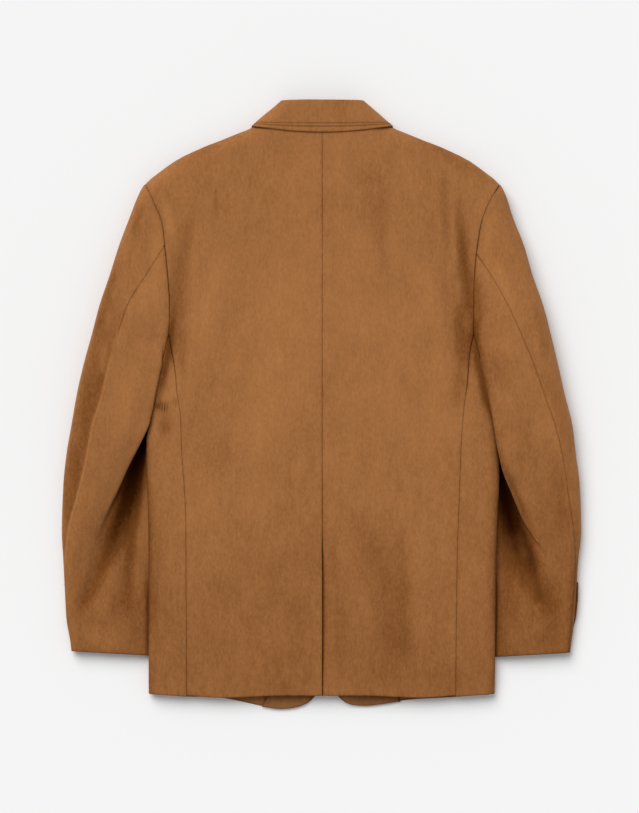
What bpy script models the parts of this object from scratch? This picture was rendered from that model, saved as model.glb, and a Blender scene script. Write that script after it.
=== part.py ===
"""A suede jacket lying flat with its back up, built as the pieces it is cut from.

The frame: +Z up from the surface, +Y toward the collar, +X toward the wearer's right.
The wearer's left is therefore at -X. Sizes in the tables are millimetres.
"""

import math

import bmesh
import bpy
import numpy as np

MM = 0.001
WALL = 1.6            # thickness of the suede
SEAM = 0.2            # half of the clear gap between neighbouring pieces
SLIP = 0.4            # clear gap between layers that lie on each other
LOOSE = 1.3           # the same where both layers rise and fall together

HEM_Y = -389.0        # centre back at the hem
NECK_Y = 378.0        # centre back at the neck seam
EDGE_MID = 15.0       # height of the shoulder fold above the surface
EDGE_WIDTH = 20.0     # how far in from a fold the cloth is still turning
SIDE_WIDTH = 14.0     # the same at the side of the body
UNDERARM_Y = -23.5
VENT_TOP_Y = -203.0
VENT_LAP = 36.0       # width of the vent's underlap
VENT_GAP = 2.2        # how far the vent stands open
SHOULDER_CROWD = 1.35  # rows of a panel crowd toward the shoulder
BREAK_Y = -58.0       # where the lapel's roll line meets the front edge

SUEDE = (0.352, 0.150, 0.048, 1.0)
SUEDE_UNDER = (0.300, 0.125, 0.040, 1.0)
HORN = (0.060, 0.030, 0.016, 1.0)

# Height of the back's outer face above the surface, from hem to neck.
BODY_HEIGHT = {
    "y": (-410, -300, -200, -100, 0, 100, 200, 290, 340, 420),
    "z": (17.0, 19.0, 21.3, 23.0, 24.5, 27.5, 30.0, 31.0, 30.0, 28.0),
}
# Height of a sleeve's crown, from cuff to shoulder.
SLEEVE_HEIGHT = {
    "y": (-345, -300, -250, -200, -150, -100, -50, 0, 50, 100, 150, 200, 250, 300),
    "z": (12.0, 13.5, 15.5, 18, 21.5, 26, 31, 35, 37, 38, 38, 36, 33, 30),
}
# Outline of the shoulder from the neck point to the shoulder point.
SHOULDER = {
    "out": (84, 100, 110, 135, 156, 174, 190, 203, 214, 224, 234, 236),
    "y": (376.5, 369, 365, 354, 346, 338, 330, 322, 314, 306, 298, 294),
}
# Outer outline of each sleeve, from the shoulder point to the cuff.
OUTLINE_Y = (298, 290, 274, 254, 214, 173, 133, 93, 53, 13, -27, -68, -108, -168,
             -208, -249, -289, -329, -345)
OUTLINE = {
    "left": (234, 240, 248, 256, 271, 284, 297.5, 308, 319, 328, 335, 342, 346, 348,
             346, 344, 342, 336, 335),
    "right": (234, 240, 247, 253, 269, 281, 295, 305.5, 315, 324, 334, 339, 344, 346,
              342, 339.5, 337, 332, 331),
}
# Side of the body from the underarm to the hem.
SIDE_Y = (-400, -208, -148, -90, -50, -22, 100)
SIDE = {
    "left": (232, 232, 232.6, 234.3, 234.5, 232.6, 232.0),
    "right": (230.5, 232, 234, 236.5, 235, 231.8, 231.0),
}
# Seam between back and side panel, from the hem to the top of the side panel.
SIDE_SEAM = {
    "left": {
        "y": (-395, -155, -47, -15, 20, 44, 77, 96),
        "out": (181, 182, 188, 189, 194, 196, 202, 206),
    },
    "right": {
        "y": (-395, -207, -117, -49, 6, 26, 68, 96),
        "out": (178, 180, 183, 185.5, 190, 193, 197, 203.5),
    },
}
# Back armhole, from the end of the side seam up to the shoulder point.
ARMHOLE = {
    "left": {
        "y": (94, 132, 177, 212, 243, 272, 294),
        "out": (206, 204.5, 207, 210, 213.5, 225, 235.5),
    },
    "right": {
        "y": (94, 122, 155, 188, 217, 243, 268, 294),
        "out": (203.5, 204.5, 205, 206, 209, 213.5, 222, 235.5),
    },
}
# Front armhole on the underside, from the underarm up to the shoulder point.
FRONT_ARMHOLE = {
    "y": (-24, -8, 30, 75, 130, 180, 230, 268, 294),
    "out": (231, 222, 200, 187, 182, 186, 200, 219, 235.5),
}
# Elbow seam of each sleeve, from the cuff to the armhole.
ELBOW = {
    "left": {
        "y": (-345, -222, -199, -157, -124, -76, -27, 8, 59, 99, 132, 172, 212),
        "out": (331, 340, 340, 335, 327, 315, 305.5, 294.5, 282, 271, 260, 236, 212),
    },
    "right": {
        "y": (-345, -235, -207, -172, -131, -76, -32, 8, 54, 85, 115, 150, 179, 201),
        "out": (328, 337, 338, 336, 330, 322, 312, 298, 282, 269, 256, 238, 222, 210.5),
    },
}
# The sleeve's inner fold below the back armhole. lip: its free edge. foot: where it
# meets the layer under it. inner: the edge tucked under the body. base: height at
# the foot. rise: height of the fold over its foot.
FOLD_Y = (94, 70, 38, 0, -23, -45, -62, -86, -118, -151, -195, -228, -270, -345)
FOLD = {
    "left": {
        "lip": (206.4, 211, 218, 226, 230.5, 240, 250, 263, 277, 290, 303, 312, 314, 308),
        "foot": (206.4, 214, 222, 231.5, 237, 243, 253, 267, 281, 293, 305, 313, 314, 308),
    },
    "right": {
        "lip": (203.9, 209, 217, 224, 228, 231, 234.5, 240, 253, 267, 289, 298, 308, 308),
        "foot": (203.9, 213, 221.5, 231, 237, 239.5, 241, 246, 258, 271, 291.5, 299, 308,
                 308),
    },
    "inner": (206, 216, 224, 233, 236, 226, 214, 207, 203, 200, 197, 194, 191, 188),
    "base": (27.0, 26, 23.8, 18, 11, 7.2, 6.4, 6.4, 7, 7.8, 9, 10.2, 11.6, 10.5),
    "rise": (0, 5, 9, 14.5, 18.5, 20, 19, 17, 13, 9.5, 5.5, 3, 0, 0),
}
# Stretches of the sleeve's sections: from, to, and how many.
SLEEVE_STRETCHES = ((291.0, 205.0, 5), (205.0, 40.0, 8), (40.0, -70.0, 8), (-70.0, -336.0, 10))
UNDERSLEEVE_TOP = {"left": 210.0, "right": 196.0}
# How much of the way under the body the undersleeve reaches: none above the underarm.
TUCK = {"y": (-60, -36, -14, -2), "part": (1.0, 1.0, 0.0, 0.0)}

# Lower end of each front, from its side seam to the round corner and up the edge.
FRONT_HEM = {
    "left": ((186, -389.5), (137, -392), (113, -397), (78, -405), (58, -408), (39, -406),
             (24, -400), (13, -391)),
    "right": ((186, -389.5), (158, -393), (117, -396), (88, -401), (62, -404),
              (49, -403.5), (36, -400), (25, -391)),
}
FRONT_EDGE = {
    "left": ((13, -391), (-3, -366), (-14, -330),
             (-20, -280), (-20, -150), (-20, BREAK_Y)),
    "right": ((25, -391), (6, -364), (-11, -322),
              (-20, -270), (-20, -150), (-20, BREAK_Y)),
}
ROLL_TOP = (42, 260)
GORGE = ((46, 258), (60, 260), (78, 266))
FRONT_NECK = ((78, 266), (88, 295), (95, 331), (94, 360), (85.5, 376.0))
LAPEL_EDGE = ((-14, BREAK_Y + 6), (8, -20), (45, 60), (80, 150), (103, 225), (112, 252))
SHOULDER_GAP = 1.8    # from the fold's middle to each panel's edge
FACING_COLUMN = {"left": 4, "right": 5}   # column of the front at the facing's seam

# Collar: its lower edge, its fold, and where both pass over the shoulder.
COLLAR_EDGE_CENTRE = 366.5
COLLAR_FOLD_Y = 409.0
COLLAR_TURN = {"edge": (98.5, 373.5), "fold": (55.0, 408.8)}
COLLAR_FRONT_EDGE = ((98.5, 373.5), (104, 352), (103, 320), (95, 290), (84, 268))
COLLAR_FRONT_FOLD = ((55, 408.8), (60.5, 392), (60, 360), (52, 310), (42, 266))
COLLAR_HIGH = 29.7    # middle of the fold, between fall and stand
STAND_IN = 7.0        # the stand is this much narrower than the fall at each side
STAND_SEAM = 0.29     # the neck seam's place between collar edge and fold

BUTTONS = ((0.0, -75.0), (0.0, -185.0))   # the upper one is held a little off
BUTTON_OFF = (0.8, 0.1)                   # the surface by the roll of the lapels
BUTTON_RADIUS = 10.0
BUTTON_THICK = 3.4


def smooth(value, knots, levels):
    """A curve through a table's rows that never overshoots them."""
    knots = np.asarray(knots, float)
    levels = np.asarray(levels, float)
    if knots[0] > knots[-1]:
        knots = knots[::-1]
        levels = levels[::-1]
    step = np.diff(knots)
    slope = np.diff(levels) / step
    tangent = np.zeros_like(levels)
    same = slope[:-1] * slope[1:] > 0
    mean = 2.0 * slope[:-1] * slope[1:] / np.where(same, slope[:-1] + slope[1:], 1.0)
    tangent[1:-1] = np.where(same, mean, 0.0)
    tangent[0] = slope[0]
    tangent[-1] = slope[-1]
    value = np.clip(np.asarray(value, float), knots[0], knots[-1])
    index = np.clip(np.searchsorted(knots, value) - 1, 0, len(step) - 1)
    width = step[index]
    t = (value - knots[index]) / width
    start = (1 + 2 * t) * (1 - t) ** 2 * levels[index]
    leave = t * (1 - t) ** 2 * width * tangent[index]
    end = t * t * (3 - 2 * t) * levels[index + 1]
    arrive = t * t * (t - 1) * width * tangent[index + 1]
    return start + leave + end + arrive


def ease(value, low, high):
    """Rise smoothly from 0 at low to 1 at high."""
    t = np.clip((np.asarray(value, float) - low) / (high - low), 0.0, 1.0)
    return t * t * (3 - 2 * t)


def turn_in(distance, width):
    """How far a fold's rounding has come at a distance in from its edge."""
    t = np.clip(1.0 - np.asarray(distance, float) / width, 0.0, 1.0)
    return np.sqrt(1.0 - t * t)


def fold_width(half):
    """A thin fold turns in less width than a thick one."""
    return np.clip(1.45 * np.asarray(half, float), 4.0, EDGE_WIDTH)


def dense(points, steps=12):
    """A smooth path through a few points."""
    points = np.asarray(points, float)
    first = 2 * points[0] - points[1]
    last = 2 * points[-1] - points[-2]
    padded = np.vstack((first, points, last))
    path = []
    for i in range(1, len(padded) - 2):
        p0, p1, p2, p3 = padded[i - 1:i + 3]
        gap = [max(math.dist(p, q), 1e-6) ** 0.5 for p, q in ((p0, p1), (p1, p2), (p2, p3))]
        m1 = (p2 - p1) + gap[1] * ((p1 - p0) / gap[0] - (p2 - p0) / (gap[0] + gap[1]))
        m2 = (p2 - p1) + gap[1] * ((p3 - p2) / gap[2] - (p3 - p1) / (gap[1] + gap[2]))
        for t in np.arange(steps) / steps:
            a = (2 * t ** 3 - 3 * t ** 2 + 1) * p1 + (t ** 3 - 2 * t ** 2 + t) * m1
            b = (3 * t ** 2 - 2 * t ** 3) * p2 + (t ** 3 - t ** 2) * m2
            path.append(a + b)
    path.append(points[-1])
    return np.array(path)


def spread(path, count, bend=0.0, crowd=1.0):
    """Points along a path, closer where it bends and, with crowd over 1, at its end."""
    path = np.asarray(path, float)
    run = np.diff(path, axis=0)
    length = np.linalg.norm(run, axis=1)
    measure = length.copy()
    if bend > 0:
        heading = np.unwrap(np.arctan2(run[:, 1], run[:, 0]))
        turning = np.abs(np.diff(heading))
        measure[:-1] += bend * turning / 2
        measure[1:] += bend * turning / 2
    total = np.concatenate(([0.0], np.cumsum(measure)))
    wanted = total[-1] * (1 - (1 - np.linspace(0.0, 1.0, count)) ** crowd)
    columns = [np.interp(wanted, total, path[:, k]) for k in range(path.shape[1])]
    return np.stack(columns, axis=1)


def away(x, y, line):
    """Distance in plan from points to a line of straight stretches."""
    line = np.asarray(line, float)
    start = line[:-1]
    run = np.diff(line, axis=0)
    size = np.maximum((run ** 2).sum(axis=1), 1e-9)
    dx = np.asarray(x, float)[..., None] - start[:, 0]
    dy = np.asarray(y, float)[..., None] - start[:, 1]
    t = np.clip((dx * run[:, 0] + dy * run[:, 1]) / size, 0.0, 1.0)
    return np.hypot(dx - t * run[:, 0], dy - t * run[:, 1]).min(axis=-1)


def inside(x, y, ring):
    """True where a point lies within a closed outline in plan."""
    x = np.asarray(x, float)
    y = np.asarray(y, float)
    found = np.zeros(x.shape, bool)
    ring = np.asarray(ring, float)
    for (ax, ay), (bx, by) in zip(ring, np.roll(ring, -1, axis=0)):
        if ay == by:
            continue
        crosses = (ay > y) != (by > y)
        found ^= crosses & (x < (bx - ax) * (y - ay) / (by - ay) + ax)
    return found


def cover(x, y, ring, margin):
    """1 over an outline and a little beyond, easing to 0 at the margin."""
    closed = np.vstack((ring, ring[:1]))
    out = np.where(inside(x, y, ring), 0.0, away(x, y, closed))
    return 1.0 - ease(out, 14.0, margin)


def patch(bottom, top, left, right, columns, rows, crowd=1.0):
    """Plan of a panel filled in between its four edges."""
    u = np.linspace(0, 1, columns)[None, :, None]
    v = (1 - (1 - np.linspace(0, 1, rows)) ** crowd)[:, None, None]
    low = spread(bottom, columns)[None, :, :]
    high = spread(top, columns)[None, :, :]
    near = spread(left, rows, crowd=crowd)[:, None, :]
    far = spread(right, rows, crowd=crowd)[:, None, :]
    corners = (1 - u) * (1 - v) * low[:, :1] + u * (1 - v) * low[:, -1:]
    corners = corners + (1 - u) * v * high[:, :1] + u * v * high[:, -1:]
    return (1 - v) * low + v * high + (1 - u) * near + u * far - corners


def body_top(out, y):
    """Outer face of the back over the body, without the turn at its side."""
    level = smooth(y, BODY_HEIGHT["y"], BODY_HEIGHT["z"])
    shoulder = np.column_stack((SHOULDER["out"], SHOULDER["y"]))
    fold = away(out, y, shoulder)
    return EDGE_MID + (level - EDGE_MID) * turn_in(fold, EDGE_WIDTH)


def side_lift(out, y):
    """How far the tucked sleeve lifts the underside of the body's edge."""
    across = ease(out, 166, 184)
    along = ease(-np.asarray(y, float), 2, 42) * (1 - ease(-np.asarray(y, float), 348, 384))
    return 7.6 * across * along


def collar_lapel_ring(side):
    """Outline in plan of what is turned back onto a front."""
    ring = [(-20, BREAK_Y)]
    ring += list(LAPEL_EDGE)
    ring += [(84, 268)]
    ring += list(COLLAR_FRONT_EDGE[::-1])
    ring += list(COLLAR_FRONT_FOLD)
    ring += [ROLL_TOP]
    return np.array(ring, float)


def left_stack(x, y):
    """Height that the left front takes up under the right one."""
    edge = dense(FRONT_EDGE["left"], 6)
    roll = np.array((FRONT_EDGE["left"][-1], ROLL_TOP), float)
    line = np.vstack((edge, roll[1:]))
    ring = np.vstack((line, ((200, 260), (200, -408))))
    over = cover(-np.asarray(x, float), y, ring, 60.0)
    lapel = ease(np.asarray(y, float), BREAK_Y - 30, BREAK_Y - 6)
    return (2 * WALL + 2 * LOOSE + 4 * SLIP + (WALL + SLIP) * lapel) * over


def button_lift(x, y):
    """Rise of the fronts over the buttons under them."""
    total = np.zeros(np.shape(x))
    for bx, by in BUTTONS:
        distance = np.hypot(np.asarray(x, float) - bx, np.asarray(y, float) - by)
        total = total + (BUTTON_THICK + SLIP) * (1 - ease(distance, BUTTON_RADIUS + 14, 60))
    return total


def floor_lift(side, out, y):
    """Height under the outermost layer of one side of the front."""
    sign = -1.0 if side == "left" else 1.0
    x = sign * np.asarray(out, float)
    lift = button_lift(x, y)
    if side == "right":
        lift = lift + left_stack(x, y)
    return lift


def front_low(side, out, y):
    """Outer face of a front, which is its lower one."""
    turned = cover(out, y, collar_lapel_ring(side), 46.0)
    level = floor_lift(side, out, y) + (WALL + LOOSE) * turned
    level = level + side_lift(out, y)
    shoulder = np.column_stack((SHOULDER["out"], SHOULDER["y"]))
    fold = away(out, y, shoulder)
    return EDGE_MID - (EDGE_MID - level) * turn_in(fold, EDGE_WIDTH)


def sleeve_outer(side, y):
    """Where the sleeve's outline is, and how much its slant widens a turn there."""
    out = smooth(y, OUTLINE_Y, OUTLINE[side])
    slant = (smooth(np.asarray(y) + 2.0, OUTLINE_Y, OUTLINE[side]) - out) / 2.0
    return out, np.hypot(1.0, slant)


def sleeve_mid(y):
    """Height of the sleeve's outer fold."""
    crown = smooth(y, SLEEVE_HEIGHT["y"], SLEEVE_HEIGHT["z"])
    return 0.5 * crown + (EDGE_MID - 0.5 * crown) * ease(y, 230, 290)


def sleeve_top(side, out, y):
    """Outer face of a sleeve on its upper side."""
    crown = smooth(y, SLEEVE_HEIGHT["y"], SLEEVE_HEIGHT["z"])
    seam = armhole(side, y)
    joined = body_top(seam, y)
    blend = ease(np.asarray(out, float) - seam, 0, 42)
    above = ease(y, 60, 110)
    level = crown + (joined - crown) * (1 - blend) * above
    mid = sleeve_mid(y)
    edge, slant = sleeve_outer(side, y)
    return mid + (level - mid) * turn_in((edge - out) / slant, fold_width(mid))


def side_path(side, y):
    """Section of a side panel: top seam, round the body's edge, to the front."""
    edge = float(smooth(y, SIDE_Y, SIDE[side]))
    seam = float(smooth(y, SIDE_SEAM[side]["y"], SIDE_SEAM[side]["out"])) + SEAM
    high = float(body_top(seam, y))
    low = float(front_low(side, 196.0, y))
    mid = (high + low) / 2
    width = min(SIDE_WIDTH, 1.7 * (high - mid))
    path = []
    for out in np.linspace(seam, edge - width, 8):
        path.append((out, high))
    for angle in np.linspace(math.pi / 2, -math.pi / 2, 25)[1:-1]:
        out = edge - width * (1 - math.cos(angle))
        path.append((out, mid + (high - mid) * math.sin(angle)))
    for out in np.linspace(edge - width, 186 + SEAM, 10):
        path.append((out, float(front_low(side, out, y))))
    return np.array(path)


def side_panel(side, columns, rows, levels):
    """Side panel: columns run up from the hem to the armhole."""
    heights = np.linspace(-391.0, 94.0, levels)
    sections = np.array([spread(side_path(side, y), columns, 14.0) for y in heights])
    points = np.zeros((rows, columns, 3))
    for k in range(columns):
        out = sections[:, k, 0]
        level = sections[:, k, 1]
        part = k / (columns - 1)
        clear = 0.7 + 2.1 * ease(94 - heights, 2, 24)
        foot = smooth(heights, FOLD_Y, FOLD[side]["foot"]) - clear
        arm = smooth(heights, FRONT_ARMHOLE["y"], FRONT_ARMHOLE["out"]) - 2.4
        upper = level > (sections[:, 0, 1] + sections[:, -1, 1]) / 2
        limit = np.where(upper, foot, arm)
        blocked = np.where((heights > UNDERARM_Y - 2) & (out > limit))[0]
        top = heights[blocked[0]] if len(blocked) else heights[-1]
        if k == 0:
            top = 92.0
        hem = -385.4 - 3.6 * (1 - math.sin(math.pi * min(part, 1.0)))
        along = np.linspace(hem, top, rows)
        points[:, k, 0] = np.interp(along, heights, out)
        points[:, k, 1] = along
        points[:, k, 2] = np.interp(along, heights, level)
    return points


def side_seam(side, y):
    """Where the seam between back and side panel runs."""
    return smooth(y, SIDE_SEAM[side]["y"], SIDE_SEAM[side]["out"])


def armhole(side, y):
    """Where the back armhole runs."""
    return smooth(y, ARMHOLE[side]["y"], ARMHOLE[side]["out"])


def back_edges(side):
    """The four edges of a back panel in plan."""
    low = np.linspace(-388.6, 92.0, 40)
    high = np.linspace(95.0, 294.0, 30)
    outer = np.vstack((
        np.column_stack((side_seam(side, low) - SEAM, low)),
        np.column_stack((armhole(side, high) - SEAM, high)),
    ))
    hem = ((SEAM, HEM_Y), (60, HEM_Y), (137, HEM_Y - 2.6), tuple(outer[0]))
    neck = ((SEAM, NECK_Y), (45, NECK_Y + 0.4), (75, NECK_Y + 0.6), (84, 376.3))
    shoulder = list(zip(SHOULDER["out"], SHOULDER["y"]))[1:-1]
    top = dense(neck, 8)
    slope = dense([neck[-1]] + shoulder + [tuple(outer[-1])], 6)
    return dense(hem, 8), np.vstack((top, slope[1:])), outer


def back_panel(side, columns, rows):
    """A back panel, flat over the body and turned in along the shoulder."""
    hem, top, outer = back_edges(side)
    centre = np.array(((SEAM, HEM_Y), (SEAM, NECK_Y)))
    plan = patch(hem, top, centre, outer, columns, rows, SHOULDER_CROWD)
    level = body_top(plan[..., 0], plan[..., 1])
    shoulder = np.column_stack((SHOULDER["out"], SHOULDER["y"]))
    near = away(plan[..., 0], plan[..., 1], shoulder)
    level = np.where(near < 0.9, np.maximum(level, EDGE_MID + SHOULDER_GAP), level)
    return np.dstack((plan, level))


def front_panel(side, columns, rows):
    """A front, from its side seam and armhole to its edge, roll line and neck."""
    arm = [(out, y) for out, y in zip(FRONT_ARMHOLE["out"], FRONT_ARMHOLE["y"]) if y > 70]
    outer = [(186 - SEAM, -389.5), (186 - SEAM, -150), (186 - SEAM, 60)]
    outer += [(out - 1.4, y) for out, y in arm]
    roll = [(-20 + 1.2, BREAK_Y + 4), (ROLL_TOP[0] + 2.5, ROLL_TOP[1] - 4)]
    edge = dense(FRONT_EDGE[side], 6)
    inner = np.vstack((edge, roll, GORGE, dense(FRONT_NECK, 6)[1:]))
    top = [FRONT_NECK[-1]] + list(zip(SHOULDER["out"], SHOULDER["y"]))[1:-1] + [outer[-1]]
    plan = patch(dense(FRONT_HEM[side][::-1], 8), dense(top, 6), inner, dense(outer, 6),
                 columns, rows, SHOULDER_CROWD)
    level = front_low(side, plan[..., 0], plan[..., 1])
    shoulder = np.column_stack((SHOULDER["out"], SHOULDER["y"]))
    near = away(plan[..., 0], plan[..., 1], shoulder)
    level = np.where(near < 0.9, np.minimum(level, EDGE_MID - SHOULDER_GAP), level)
    return np.dstack((plan, level))


def facing(front, seam_column):
    """Facing inside a front's lower edge, made from the front's own points."""
    rows = front[front[:, 0, 1] < BREAK_Y - 10][:, :seam_column + 1]
    return rows + (0.0, 0.0, 2 * WALL + 2 * SLIP)


def lapel(side, columns, rows, turns):
    """Lapel: turned back under the front, round the roll line, and a little inside."""
    roll = np.array(((-20 + 1.0, BREAK_Y + 6), ROLL_TOP), float)
    outer = dense(LAPEL_EDGE, 8)
    bottom = np.array((roll[0], outer[0] + (1.5, 0)))
    gorge = np.array((ROLL_TOP, (76, 260), (112, 252)), float)
    plan = patch(bottom, gorge, roll, outer, columns, rows)[:, ::-1]
    level = floor_lift(side, plan[..., 0], plan[..., 1])
    flat = np.dstack((plan, level))
    low = flat[:, -1, 2]
    stack = 3 * WALL + 2 * LOOSE
    line = spread(roll, rows)
    turn = []
    for angle in np.linspace(-math.pi / 2, math.pi / 2, turns)[1:-1]:
        out = line[:, 0] - 1.4 * math.cos(angle)
        turn.append(np.column_stack((out, line[:, 1], low + stack / 2 * (1 + math.sin(angle)))))
    for step in (0.6, 8.0):
        lift = front_low(side, line[:, 0] + step + 3, line[:, 1]) - low - WALL - LOOSE
        level = low + stack + np.maximum(lift, 0)
        turn.append(np.column_stack((line[:, 0] + step, line[:, 1], level)))
    return np.concatenate((flat, np.stack(turn, axis=1)), axis=1)


def collar_plan(level, columns):
    """The line round the neck at a level from the collar's edge (0) to its fold (1)."""
    edge = np.array(COLLAR_TURN["edge"])
    fold = np.array(COLLAR_TURN["fold"])
    turn = edge + (fold - edge) * level
    centre = COLLAR_EDGE_CENTRE + (COLLAR_FOLD_Y - COLLAR_EDGE_CENTRE) * level
    angle = np.linspace(-math.pi / 2, math.pi / 2, columns * 2 - 1)
    back = np.column_stack((turn[0] * np.sin(angle), np.zeros(len(angle))))
    back[:, 1] = centre + (turn[1] - centre) * np.abs(back[:, 0] / turn[0]) ** 2
    low = spread(dense(COLLAR_FRONT_EDGE[::-1], 8), columns, crowd=1.7)[::-1]
    high = spread(dense(COLLAR_FRONT_FOLD[::-1], 8), columns, crowd=1.7)[::-1]
    front = low + (high - low) * level
    left = front[::-1] * (-1, 1)
    plan = np.vstack((left[:-1], back, front[1:]))
    upper = np.concatenate((-np.ones(columns - 1), np.ones(len(back)), -np.ones(columns - 1)))
    upper[columns - 1] = 0
    upper[-columns] = 0
    return plan, upper


def stand_plan(level, columns):
    """The stand's line, narrower than the fall's where both pass over the shoulder."""
    plan, upper = collar_plan(level, columns)
    edge = COLLAR_TURN["edge"][0]
    widest = edge + (COLLAR_TURN["fold"][0] - edge) * level
    along = np.abs(np.arange(len(plan)) - (len(plan) - 1) / 2) - (columns - 1)
    fade = 1 - ease(along, 0, columns * 0.55)
    plan[:, 0] *= 1 - STAND_IN * fade / widest
    return plan, upper


def collar_point_height(plan, upper, reach, narrow):
    """Height of a collar layer that stands off the neck's opening by a reach."""
    out = np.abs(plan[:, 0])
    y = plan[:, 1]
    turn = np.array((COLLAR_TURN["edge"], COLLAR_TURN["fold"]), float)
    turn[:, 0] -= narrow
    run = turn[1] - turn[0]
    normal = np.array((run[1], -run[0])) / np.hypot(*run)
    depth = np.abs((out - turn[0, 0]) * normal[0] + (y - turn[0, 1]) * normal[1])
    depth = np.where(upper == 0, 0.0, depth)
    side = np.where(plan[:, 0] < 0, 0.0, 1.0)
    stack = left_stack(plan[:, 0], y) * side
    high = COLLAR_HIGH + reach
    low = WALL + SLIP - reach + stack
    level = np.where(upper > 0, high, low)
    return EDGE_MID + (level - EDGE_MID) * turn_in(depth, np.where(upper > 0, 18.0, 13.0))


def collar(columns, fall_levels):
    """Collar: the fall, the fold along its top, and the stand down to the neck seam."""
    lines = []
    for level in fall_levels:
        plan, upper = collar_plan(level, columns)
        z = collar_point_height(plan, upper, WALL + SLIP, 0.0)
        lines.append(np.column_stack((plan, z)))
    plan, upper = collar_plan(1.0, columns)
    lines.append(np.column_stack((plan, collar_point_height(plan, upper, 0.0, 0.0))))
    stand_levels = [level for level in fall_levels[::-1] if level > STAND_SEAM + 0.1]
    for level in stand_levels + [STAND_SEAM]:
        plan, upper = stand_plan(level, columns)
        z = collar_point_height(plan, upper, -2.0, STAND_IN)
        lines.append(np.column_stack((plan, z)))
    return np.array(lines)


def topsleeve_path(side, y):
    """Section of a topsleeve: elbow seam, round the outer fold, to the inner seam."""
    high_seam = y > ELBOW[side]["y"][-1]
    if high_seam:
        start = float(armhole(side, y)) + 3 * SEAM
    else:
        start = float(smooth(y, ELBOW[side]["y"], ELBOW[side]["out"])) + SEAM
        start = start + 1.0 * float(ease(-y, -60, 60))
    outer, slant = [float(v) for v in sleeve_outer(side, y)]
    if y > UNDERARM_Y:
        end = float(smooth(y, FRONT_ARMHOLE["y"], FRONT_ARMHOLE["out"])) + 2 * SEAM
    else:
        end = float(smooth(y, FOLD_Y, FOLD["inner"]))
        end = end + 4.4 + 9.0 * float(ease(-y, 24, 70)) + 5.0 * float(ease(y, -80, -50))
    mid = float(sleeve_mid(y))
    width = float(fold_width(mid)) * slant
    above = math.acos(max(1 - (outer - start) / width, 0.0))
    below = math.acos(max(1 - (outer - end) / width, 0.0))
    path = [(out, float(sleeve_top(side, out, y)))
            for out in np.linspace(start, outer - width, 10)[:-1] if start < outer - width]
    for angle in np.linspace(above, -below, 28):
        out = outer - width * (1 - math.cos(angle))
        if angle > 0:
            path.append((out, float(sleeve_top(side, out, y))))
        else:
            path.append((out, mid * (1 + math.sin(angle))))
    path += [(out, 0.0) for out in np.linspace(outer - width, end, 10)[1:] if end < outer - width]
    return np.array(path)


def fold_row(side, y):
    """The sleeve's fold at a height: lip, foot, inner edge, base and rise."""
    at = [float(smooth(y, FOLD_Y, column)) for column in (
        FOLD[side]["lip"], FOLD[side]["foot"], FOLD["inner"], FOLD["base"], FOLD["rise"])]
    if y > FOLD_Y[0]:
        seam = float(armhole(side, y)) + 3 * SEAM
        at = [seam, seam, seam, float(body_top(seam, y)), 0.0]
    return at


def undersleeve_path(side, y):
    """Section of an undersleeve: elbow seam, fold, and the layer under the body."""
    start = float(smooth(y, ELBOW[side]["y"], ELBOW[side]["out"])) - SEAM
    lip, foot, inner, base, rise = fold_row(side, y)
    puff = float(ease(rise, 0.0, 8.0))
    tuck = float(smooth(y, TUCK["y"], TUCK["part"]))
    slack = min(0.5 * (start - foot), 24.0)
    edge = float(smooth(y, SIDE_Y, SIDE[side]))
    over = puff * (1 - float(ease(lip - edge, 0.0, 5.0)))
    body = float(body_top(edge - SIDE_WIDTH, y))
    top = float(sleeve_top(side, start, y))
    crest = float(sleeve_top(side, (start + foot + slack) / 2, y))
    bulge = base + rise
    tip = base + rise * 0.5
    tip += (body + 3.2 - tip) * over
    bulge = max(bulge, tip + 4.0 * puff)
    tail = base + rise * 0.16 + 0.3
    tail += (base + 0.55 * (body - base) - tail) * over
    span = start - foot
    low_end = (0.62, 0.4, 0.25, 0.16, 0.1)
    flat = [(foot + span * part, base + (crest - base) * float(ease(part, 0, 0.9)))
            for part in low_end]
    fold = [(foot + slack, crest * 0.75 + (bulge + 1.0) * 0.25),
            (foot + min(7.0, slack * 0.6), bulge), (lip + 0.8, (bulge + tip) / 2 + 0.1),
            (lip, tip), (foot - 0.2, tail)]
    stub_flat = [(foot + span * 0.015 * k, base) for k in (4, 3, 2, 1, 0)]
    stub_fold = [(foot + 0.05 * k, base + 0.4 - 0.2 * k) for k in range(5)]
    flat = np.array(flat + stub_flat)
    fold = np.array(fold + stub_fold)
    mixed = flat + (fold - flat) * puff
    path = [(start, top), (foot + span * 0.82, float(sleeve_top(side, foot + span * 0.82, y)))]
    path += [tuple(p) for p in mixed[:5]]
    stub = mixed[5:]
    near = min(foot - 1.0, 240.0)
    low = min(base, 6.2)
    wide = 9.0 * float(ease(-y, 24, 70))
    under = np.array(((near, low), (inner + 2.6, low - 0.1), (inner, low / 2),
                      (inner + 2.6, 0.1), (inner + 3.0 + wide - 0.4, 0.0)))
    path += [tuple(p) for p in stub + (under - stub) * tuck]
    path = dense(path, 8)
    path[:, 1] = np.maximum(path[:, 1], 0.0)
    return path


def cuff_skew(side, out, y):
    """Tilt the sleeve's lowest rows to follow its cuff."""
    line = -330.0 - 6.0 * (335.0 - np.asarray(out, float)) / 105.0
    return y + (line + 336.0) * ease(-y, 240, 336)


def sleeve_rows(kind, side):
    """Heights of a sleeve's sections, closer together near the underarm."""
    rows = []
    for high, low, count in SLEEVE_STRETCHES[1 if kind == "under" else 0:]:
        rows += list(np.linspace(high, low, count, endpoint=False))
    if kind == "under":
        rows[0] = UNDERSLEEVE_TOP[side]
    return np.array(rows + [SLEEVE_STRETCHES[-1][1]])


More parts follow.
